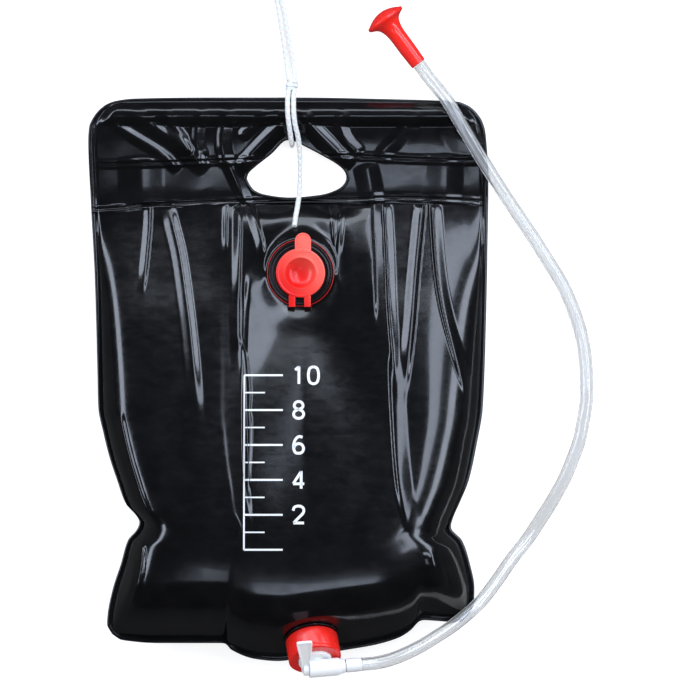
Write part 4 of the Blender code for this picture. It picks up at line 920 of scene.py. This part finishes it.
def band_grids(across, height):
    """The grids above the lower weld: below the handle hole's line, above it, and the hem."""
    return [face_grid(rows, across, height, above) for rows, above in zip(BAND_ROWS, BAND_ABOVE)]


def every_other(values):
    """Every second value, and the last."""
    return np.concatenate([values[:-1:2], values[-1:]])


def hole_edge(count=120):
    """X and Y round the handle hole, anticlockwise from its left end."""
    way = (1 - np.cos(np.linspace(0, np.pi, count))) / 2
    x = HOLE_X + HOLE_WIDTH * (way - 1 / 2)
    under = HOLE_Y - HOLE_FALL * smooth(HOLE_BOTTOM, way)
    over = HOLE_Y + HOLE_RISE * smooth(HOLE_TOP, way)
    line = np.concatenate([np.stack([x, under], -1), np.stack([x, over], -1)[::-1][1:-1]])
    return even(line, 1.2)


def even(line, step):
    """Even points round a closed line, rounded off by averaging each with its neighbours."""
    line = np.vstack([line, line[:1]])
    length = np.concatenate([[0], np.cumsum(np.linalg.norm(np.diff(line, axis=0), axis=1))])
    at = np.linspace(0, length[-1], int(length[-1] / step), endpoint=False)
    found = np.array([np.interp(at, length, line[:, axis]) for axis in range(line.shape[1])]).T
    for _ in range(3):
        found = (np.roll(found, 1, axis=0) + 2 * found + np.roll(found, -1, axis=0)) / 4
    return found


def outside_ports(middles):
    """False where the filler and the outlet pass through the film, well inside their flanges."""
    away = np.linalg.norm(middles[:, :2] - FILLER[:2], axis=1)
    outlet = np.linalg.norm(middles - np.array(OUTLET.translation) / MM, axis=1)
    return (away > FILLER_CUT) & (outlet > OUTLET_CUT)


def edge_line():
    """Even points along the welded edge, all round the bag, a little inside it and above the floor."""
    rows = np.concatenate([BODY_ROWS, *(rows[1:] for rows in BAND_ROWS)])[:, None]
    x, y = grid_points(rows, ACROSS[None])
    plane = np.where(rows < LOWER_WELD_Y, seam_height(rows) + 0 * x, band_height(y))
    whole = np.stack([x, y, plane], axis=-1)
    line = even(np.concatenate([whole[0], whole[1:, -1], whole[-1, ::-1][1:], whole[::-1, 0][1:-1]]), 1.5)
    ahead = np.roll(line, -1, axis=0) - np.roll(line, 1, axis=0)
    inward = np.stack([-ahead[:, 1], ahead[:, 0], 0 * ahead[:, 0]], axis=-1)
    inward /= np.linalg.norm(inward, axis=1, keepdims=True)
    line[:, 2] = np.maximum(line[:, 2], EDGE_BEAD[1] + 0.01)
    return line + inward * 1.4


def make_film(made):
    """Front and back, each below and above the lower weld, and low round beads at the edge and the hole."""
    hole = hole_edge()
    hole = np.column_stack([hole, np.maximum(band_height(hole[:, 1]), HOLE_BEAD[1] + 0.02)])
    for name, grids, finish_name, node, sharp, kept in (
            ("front_film", [face_grid(BODY_ROWS, ACROSS, front_body)], "film", "front_panel", 60,
             outside_ports),
            ("top_band_front", band_grids(ACROSS, front_band), "film", None, 60, None),
            ("back_film", [face_grid(every_other(BODY_ROWS), every_other(ACROSS[::-1]), back_body)], "back",
             "back_panel", 60, None),
            ("top_band_back", band_grids(ACROSS[::-1], back_band), "back", None, 60, None),
            ("edge_weld", [bead(ring(1, 12) * EDGE_BEAD, edge_line())], "bead", None, 38, None),
            ("hole_bead", [bead(ring(1, 14) * HOLE_BEAD, hole)], "bead", None, 38, None)):
        build(name, grids, made[finish_name], "bag", node, sharp, kept)


def bead(section, line):
    """A grid for build: a section carried round a closed line."""
    return carried(section, line, UP, closed=True) * MM, True, True


def film_at(x, y):
    """Height of the front's outer face at places below the lower weld."""
    row, across = row_and_share(x, y)
    return front_body(row, across, x, y)


# Print: a plain scale with numbers

# Strokes of each number in a box 1 wide and 1.6 high
STROKES = {
    "2": [[(0.02, 1.18), (0.10, 1.46), (0.34, 1.58), (0.66, 1.58), (0.92, 1.42), (0.98, 1.14), (0.86, 0.88),
           (0.50, 0.52), (0.06, 0.06)], [(0.04, 0.06), (1.0, 0.06)]],
    "4": [[(0.74, 0.0), (0.74, 1.6)], [(0.74, 1.56), (0.02, 0.46)], [(0.0, 0.44), (1.02, 0.44)]],
    "6": [[(0.86, 1.50), (0.52, 1.56), (0.22, 1.30), (0.06, 0.86), (0.06, 0.46), (0.20, 0.12), (0.50, 0.04),
           (0.82, 0.14), (0.95, 0.46), (0.82, 0.80), (0.50, 0.92), (0.20, 0.80), (0.08, 0.56)]],
    "8": [[(0.50, 0.86), (0.20, 0.98), (0.10, 1.22), (0.22, 1.48), (0.50, 1.58), (0.78, 1.48), (0.90, 1.22),
           (0.80, 0.98), (0.50, 0.86), (0.16, 0.70), (0.04, 0.42), (0.18, 0.14), (0.50, 0.04), (0.82, 0.14),
           (0.96, 0.42), (0.84, 0.70), (0.50, 0.86)]],
    "1": [[(0.18, 1.28), (0.52, 1.58)], [(0.52, 1.60), (0.52, 0.0)]],
    "0": [[(0.50, 1.58), (0.18, 1.44), (0.05, 1.06), (0.05, 0.54), (0.18, 0.16), (0.50, 0.02), (0.82, 0.16),
           (0.95, 0.54), (0.95, 1.06), (0.82, 1.44), (0.50, 1.58)]],
}
SCALE_LEFT, SCALE_LOW, SCALE_STEP, SCALE_LINE = -34.0, -132.0, 27.0, 1.3
MARKS = ((16, 1.1), (30, 1.5))  # length and width of a mark between two numbers, and of one at a number
DIGIT_INSET, DIGIT_DROP, DIGIT_SIZE, DIGIT_PITCH, DIGIT_LINE = 38, 6.8, 8.5, 11.5, 2.1
INK_HEIGHT = 0.06


def stroke(line, width):
    """A ribbon of constant width along a smooth line, laid on the film."""
    path = smooth_route(line, 0.7 if len(line) > 2 else 1.0)[0]
    ahead = np.gradient(path, axis=0)
    side = np.stack([ahead[:, 1], -ahead[:, 0]], axis=-1) / np.linalg.norm(ahead, axis=1, keepdims=True)
    xy = path[:, None] + side[:, None] * np.linspace(width / 2, -width / 2, 4)[:, None]
    return sheet(np.concatenate([xy, film_at(xy[..., 0], xy[..., 1])[..., None] + INK_HEIGHT], axis=-1))


def make_print(made):
    """A line with long and short marks, and a number at each long mark above the lowest."""
    grids = []
    for number in range(11):
        y = SCALE_LOW + SCALE_STEP * number / 2
        long = number % 2 == 0
        reach, width = MARKS[long]
        grids.append(stroke([(SCALE_LEFT, y), (SCALE_LEFT + reach, y)], width))
        for place, digit in enumerate(str(number) if long and number else ""):
            left = SCALE_LEFT + DIGIT_INSET + place * DIGIT_PITCH
            for line in STROKES[digit]:
                at = [(left + DIGIT_SIZE * x, y - DIGIT_DROP + DIGIT_SIZE * up) for x, up in line]
                grids.append(stroke(at, DIGIT_LINE))
    grids.append(stroke([(SCALE_LEFT, SCALE_LOW), (SCALE_LEFT, SCALE_LOW + SCALE_STEP * 5)], SCALE_LINE))
    build("scale_print", grids, made["ink"], "bag", None, 60)


# Filler, lid and tether

STRAP_PLACES = (-6.6, 5.4)


def make_filler(made):
    """The welded collar with its neck, and round it the hoop with a post for each of the lid's straps."""
    profile = [(13.4, -8), (15, -8), (15, 0.3), (25, 0.3), (25, 1.6), (24.5, 2.55), (23.8, 2.55), (23.2, 1.5),
               (22.4, 1.5), (21.9, 2.0), (21.3, 2.0), (20.8, 1.5), (16.2, 1.5), (16.2, 3.0), (13.4, 3.0)]
    build("filler_collar", [lathe(profile, FILLER_FRAME, 0.4, 3, True)], made["black"], "bag",
          "filler_neck")
    turn = full_turn(12)
    hoop = np.stack([25.85 + 0.42 * np.cos(turn), 0.75 + 0.45 * np.sin(turn)], axis=-1)
    grids = [lathe(hoop, FILLER_FRAME, closed=True, sides=128)]
    for x in STRAP_PLACES:
        corners = [(x + 2.7, -25.2), (x + 2.7, -26.4), (x - 2.7, -26.4), (x - 2.7, -25.2)]
        post = slab(corners, [(x, -25.8)] * 4, [(0, 0.9), (1, 0.9), (1, 3.0), (0.9, 3.13), (0, 3.13)])
        grids.append(shell(post[:, ::-1], FILLER_FRAME))
    build("tether_hoop", grids, made["tether"], "bag", "tether_ring")


def make_lid(made):
    """The lid with its bowl-shaped plug, its two straps, and its pull tab with a raised rim."""
    top, low = 5.0, 3.3
    turns = np.radians(np.linspace(14, 90, 12))
    bowl = np.stack([11.55 * np.cos(turns), top - 7 * np.sin(turns)], axis=-1)
    bowl[-1, 0] = 0
    profile = [(0, -3.4), (10.5, -3.4), (11.8, -2.1), (13.1, 1.0), (13.1, low), (19.2, low), (19.2, 4.7),
               (18.7, top), (17.6, top), (17.0, 4.75), (13.4, 4.75), (12.9, top), (12.0, top)]
    grids = [lathe(np.vstack([soften(profile, 0.35, 3), bowl]), FILLER_FRAME)]
    for x in STRAP_PLACES:
        path = np.array([(x, y, 4.15) for y in (-26.5, -25, -21, -17.2)])
        grids.append(shell(rod_of(oblong(5.2, 1.35, 0.5), path, UP), FILLER_FRAME))
    turn = full_turn(64)
    tip = np.sin(turn) > 0
    core = np.stack([1.9 + 0 * turn, np.where(tip, 25.05, 17.0)], axis=-1)
    outline = core + 6.35 * np.stack([np.cos(turn), np.sin(turn)], axis=-1)
    outline[:, 1] = np.where(tip, outline[:, 1], np.maximum(outline[:, 1], 16.0))
    profile = [(0, 3.45), (0.9, 3.45), (0.985, 3.6), (1, 3.95), (1, 4.6), (0.98, 4.95), (0.9, 5.05),
               (0.84, 4.9), (0.8, 4.55), (0, 4.5)]
    grids.append(shell(slab(outline, core, profile), FILLER_FRAME))
    build("lid_with_tab", grids, made["lid"], "filler_cap", "filler_lid")


# Outlet, nut and tap

TAP = OUTLET @ Matrix.Translation((0, 0, 28.4 * MM)) @ Matrix.Rotation(math.radians(-9.7), 4, "Z")
BARREL = TAP @ Matrix.Rotation(math.radians(90), 4, "Y")
THREAD_PITCH = 4.0


def threaded(low, high, first, last, root, depth):
    """Rows up a sleeve whose radius swells by the thread's depth where a turn passes, eased in and out."""
    height = np.linspace(low, high, 90)[:, None]
    full = (1 + np.cos(2 * np.pi * height / THREAD_PITCH - full_turn(96))) / 2
    return turned(root + depth * full * ease(np.minimum(height - first, last - height)), height)


def make_outlet(made):
    """The spout with its flange and thread, and the nut over it."""
    foot = soften([(12.4, 13), (12.4, -4), (14.9, -4), (14.9, 0.3), (21.5, 0.3), (21.5, 1.3), (14.9, 1.3)],
                  0.3, 3)
    spout = np.concatenate([turned(foot[:, :1], foot[:, 1:]), threaded(1.5, 13, 2.6, 12.7, 14.9, 0.9)])
    build("spout_threaded", [shell(spout, OUTLET, True)], made["black"], "bag", "outlet_spout")
    front, back = 20.9, 1.9
    profile = [(18.4, back), (19.9, back), (20.5, back + 0.8), (20.5, front - 4.2), (20.15, front - 3.8),
               (20.15, front - 3.3), (20.5, front - 2.9), (20.5, front - 1.0), (19.6, front), (13.5, front),
               (13.5, front - 3), (18.4, front - 3)]
    build("nut_shell", [lathe(profile, OUTLET, 0.45, 4, True, 128)], made["red"], "nut",
          "union_nut")


def make_tap(made):
    """The tap: a collar held by the nut, a barrel across it and a barb; and its plug with the lever."""
    collar = [(0, 15.1), (14.6, 15.1), (14.6, 17.6), (13, 17.6), (13, 22.9), (10.4, 22.9), (9.8, 22.3),
              (6.6, 22.3), (5.6, 24), (5.6, 28), (0, 28)]
    barrel = [(0, 9), (4.65, 9), (4.65, -6), (6.7, -6), (7.0, -5.6), (7.0, 16.5), (6.3, 18.4), (5.7, 19.4),
              (5.7, 21.7), (5.3, 22.2), (3.3, 22.2), (3.3, 34.6), (2.8, 35), (2.8, 24), (0, 24)]
    build("tap_moulding", [lathe(collar, OUTLET, 0.5), lathe(barrel, BARREL, 0.6)], made["white"], "tap",
          "tap_body")
    hub = [(0, -10.6), (4.3, -10.6), (5.0, -9.9), (5.0, -6.6), (4.7, -6.3), (4.3, -6.3), (4.3, 8.6), (0, 8.6)]
    corners = [(-11.6, -3.0), (-6.4, -3.0), (-6.3, 7.6), (-4.8, 12), (-4.6, 31.5), (-16.9, 31.5),
               (-16.7, 27.5), (-12.2, 7)]
    outline = even(soften(corners, 1.2, 4, closed=True), 0.5)
    foot, head = np.array([-8.6, 3.0]), np.array([-10.4, 25.5])
    step = head - foot
    share = np.clip((outline - foot) @ step / (step @ step), 0, 1)[:, None]
    lever = slab(outline, foot + step * share, [(0, -1.2), (0.86, -1.2), (1, -0.75), (1, 0.85), (0.95, 1.2),
                                                (0.8, 1.2), (0.7, 0.35), (0, 0.35)])
    lean = TAP @ Matrix.Rotation(math.radians(-12), 4, "X")
    build("plug_with_lever", [lathe(hub, BARREL, 0.5), shell(lever, lean)], made["white"], "lever",
          "tap_plug")


# Hose, head and rope

HOSE_ROUTE = (
    (57.3, -221.5, 59.1), (67.7, -220.6, 57.6), (79.4, -218.0, 55.8), (91.1, -213.5, 53.8),
    (102.8, -207.9, 51.0), (114.5, -200.9, 47.8), (126.2, -193.4, 44.2), (137.9, -184.5, 40.4),
    (150.3, -173.2, 35.0), (162.8, -157.6, 24.6), (174.5, -141.2, 14.4), (187.0, -125.6, 7.8),
    (197.5, -110.0, 5.6), (207.3, -94.4, 5.3), (215.9, -78.8, 5.3), (222.5, -63.2, 5.3), (228.0, -47.6, 5.3),
    (231.1, -32.0, 5.3), (233.4, -16.4, 5.3), (233.4, -0.8, 5.3), (232.6, 14.8, 5.3), (230.3, 30.4, 5.3),
    (226.0, 46.0, 5.3), (220.2, 61.6, 5.3), (212.7, 77.2, 5.3), (203.0, 92.8, 5.4), (193.2, 108.4, 5.8),
    (182.7, 124.0, 6.6), (172.2, 139.6, 8.4), (162.0, 155.2, 11.6), (152.0, 170.8, 15.6),
    (142.5, 186.4, 20.0), (133.2, 202.0, 24.0), (124.0, 217.6, 23.6), (115.0, 229.2, 19.2),
    (107.0, 239.3, 16.3), (102.0, 246.1, 16.3), (98.4, 250.9, 16.3), (94.8, 255.7, 16.3),
)
ROPE_LOOP = (
    (0.4, 233.4, 6.6), (-1.2, 245.0, 2.6), (-4.0, 265.0, 2.3), (-7.6, 288.0, 2.3), (-10.4, 300.0, 2.3),
    (-15.6, 312.0, 2.3), (-17.0, 321.0, 2.3), (-13.0, 328.6, 2.3), (-6.0, 331.0, 2.3), (1.4, 327.8, 2.3),
    (4.4, 320.0, 2.3), (1.2, 311.0, 2.3), (-5.4, 299.6, 2.3), (-3.0, 288.0, 2.3), (0.8, 265.0, 2.3),
    (4.2, 245.0, 2.6), (5.2, 233.4, 6.6),
)
ROPE_WRAP = (
    (0.2, 225.6, 16.4), (-0.4, 220.6, 20.4), (-0.5, 214.0, 21.6), (-0.3, 206.0, 21.6), (0.6, 198.4, 19.8),
    (1.6, 191.6, 16.8), (2.4, 185.2, 13.0), (2.8, 182.8, 8.2), (2.8, 184.6, 4.4), (2.7, 189.6, 2.6),
    (2.6, 197.0, 2.3), (2.6, 206.0, 2.3), (2.6, 215.0, 2.3), (2.6, 220.6, 2.6), (2.6, 225.4, 4.4),
)
ROPE_TAIL = (
    (5.0, 225.6, 16.4), (4.2, 220.6, 20.4), (4.1, 214.0, 21.6), (4.4, 206.0, 21.6), (5.4, 198.4, 19.8),
    (7.6, 189.0, 15.8), (8.9, 178.0, 11.8), (9.2, 166.0, 8.6), (9.0, 154.0, 6.6), (8.4, 144.0, 6.4),
    (7.0, 134.0, 8.6), (5.6, 126.0, 14.8), (4.9, 119.4, 19.2),
)
# Radii of the hose's outside, of its bore and of the rope
HOSE_RADIUS, HOSE_BORE_RADIUS, ROPE_RADIUS = 5.1, 3.7, 2.0
HEAD = (Matrix.Translation((74.9 * MM, 282.4 * MM, 16.3 * MM)) @ Matrix.Rotation(math.radians(-53.3), 4, "Z")
        @ Matrix.Rotation(math.radians(90), 4, "Y"))


def make_hose_end(made):
    """The hose's first stretch, pushed over the barb, which swells it a little."""
    profile = [(3.75, 35.3), (5.12, 35.3), (5.3, 33), (5.45, 27), (5.3, 23.0), (3.75, 23.0)]
    return build("hose_over_barb", [lathe(profile, BARREL, 0.4, 3, True, 32)], made["full_hose"], "tap")


def make_head(made):
    """The spray head, turned from its face back to its neck's end and in again by its bore and seat."""
    outside = [(15.3, 0.0), (16.0, 0.8), (16.0, 2.2), (15.2, 3.2), (13.4, 3.9), (11.2, 5.0), (9.4, 6.6),
               (8.3, 8.6), (7.5, 11), (6.9, 14), (6.6, 18), (6.6, 31), (6.35, 38), (6.1, 44.6), (5.9, 45)]
    inside = [(5.45, 45), (5.4, 44.6), (5.4, 33), (3.6, 33), (3.6, 11), (6.9, 6), (13.2, 2.3), (13.2, 1.4),
              (14.8, 1.4), (14.8, 0.2)]
    return build("spray_head", [lathe(outside + inside, HEAD, 1.2, 5, True)], made["red"], "bag",
                 "shower_head", 50)


def make_hose(made):
    """The clear hose: an outer and an inner wall carried along the route, joined at both ends."""
    head = make_head(made)
    path, length = smooth_route(HOSE_ROUTE, 3.0)
    outer, inner = (carried(ring(radius, 32), path, UP) for radius in (HOSE_RADIUS, HOSE_BORE_RADIUS))
    grid = np.concatenate([outer, inner[::-1]]) * MM, True, True
    hose = build("clear_hose", [grid], made["hose"], None, "shower_hose", 60)
    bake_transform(hose)
    make_hose_end(made)


def braided(path, up, size):
    """A grid for build: a rope whose two sets of strands wind opposite ways. Each stands proud where its own
    wave is higher."""
    turn = full_turn(24)
    run = np.concatenate([[0], np.cumsum(np.linalg.norm(np.diff(path, axis=0), axis=1))])[:, None]
    one, two = np.cos(3 * turn + run * 1.25), np.cos(3 * turn - run * 1.25)
    rope = carried(ring(size * (0.86 + 0.14 * np.maximum(one, two)), 24), path, up)
    ends = (np.broadcast_to(end, rope[:1].shape) for end in (path[0], path[-1]))
    return np.concatenate([next(ends), rope, next(ends)]) * MM, True, False


def make_knot(made):
    """The knot: the rope wound nearly two and a half times round itself, its turns side by side."""
    t = np.linspace(0, 1, 150)
    turn = 2 * np.pi * 2.4 * t
    middle = np.mean([ROPE_LOOP[0], ROPE_LOOP[-1], ROPE_WRAP[0], ROPE_TAIL[0]], axis=0)
    radius = 3.3 - 1.5 * np.abs(2 * t - 1) ** 6
    path = middle + np.stack([radius * np.cos(turn), (t - 0.5) * 7.0, radius * 0.95 * np.sin(turn)], axis=-1)
    core = [(0, -5.2), (2.2, -4.6), (3.0, -2), (3.0, 2), (2.2, 4.6), (0, 5.2)]
    frame_along = Matrix.Translation(middle * MM) @ Matrix.Rotation(math.radians(-90), 4, "X")
    grids = [braided(path, (0, 1.0, 0), 1.95), lathe(core, frame_along, 1, sides=32)]
    return build("wound_knot", grids, made["rope"], "bag", "rope_knot", 80)


def make_rope(made):
    """The rope's three stretches, which meet in the knot."""
    knot = make_knot(made)
    for name, node, route, up, end, pieces in (
            ("rope_hanging_loop", "rope_loop", ROPE_LOOP, UP, "knot", [knot]),
            ("rope_round_bar", "rope_wrap", ROPE_WRAP, (1.0, 0, 0), "knot", []),
            ("rope_end", "rope_tail", ROPE_TAIL, (1.0, 0, 0), "bare", [])):
        path, length = smooth_route(route, 0.4)
        rope = build(name, [braided(path, up, ROPE_RADIUS)], made["rope"], "bag", node, 80)


def main():
    """Stage, finishes and pieces, then a finish for the nodes that keep their CAD mesh."""
    make_stage()
    made = make_finishes()
    for make in (make_hose, make_rope, make_film, make_print, make_filler, make_lid, make_outlet, make_tap):
        make(made)
    for node, name in (("hanger_bar", "bar"), ("rose_plate", "red"), ("outlet_gasket", "rubber"),
                       ("plug_seal_1", "rubber"), ("plug_seal_2", "rubber")):
        for slot in frame["nodes"][node].material_slots:
            slot.material = made[name]


main()
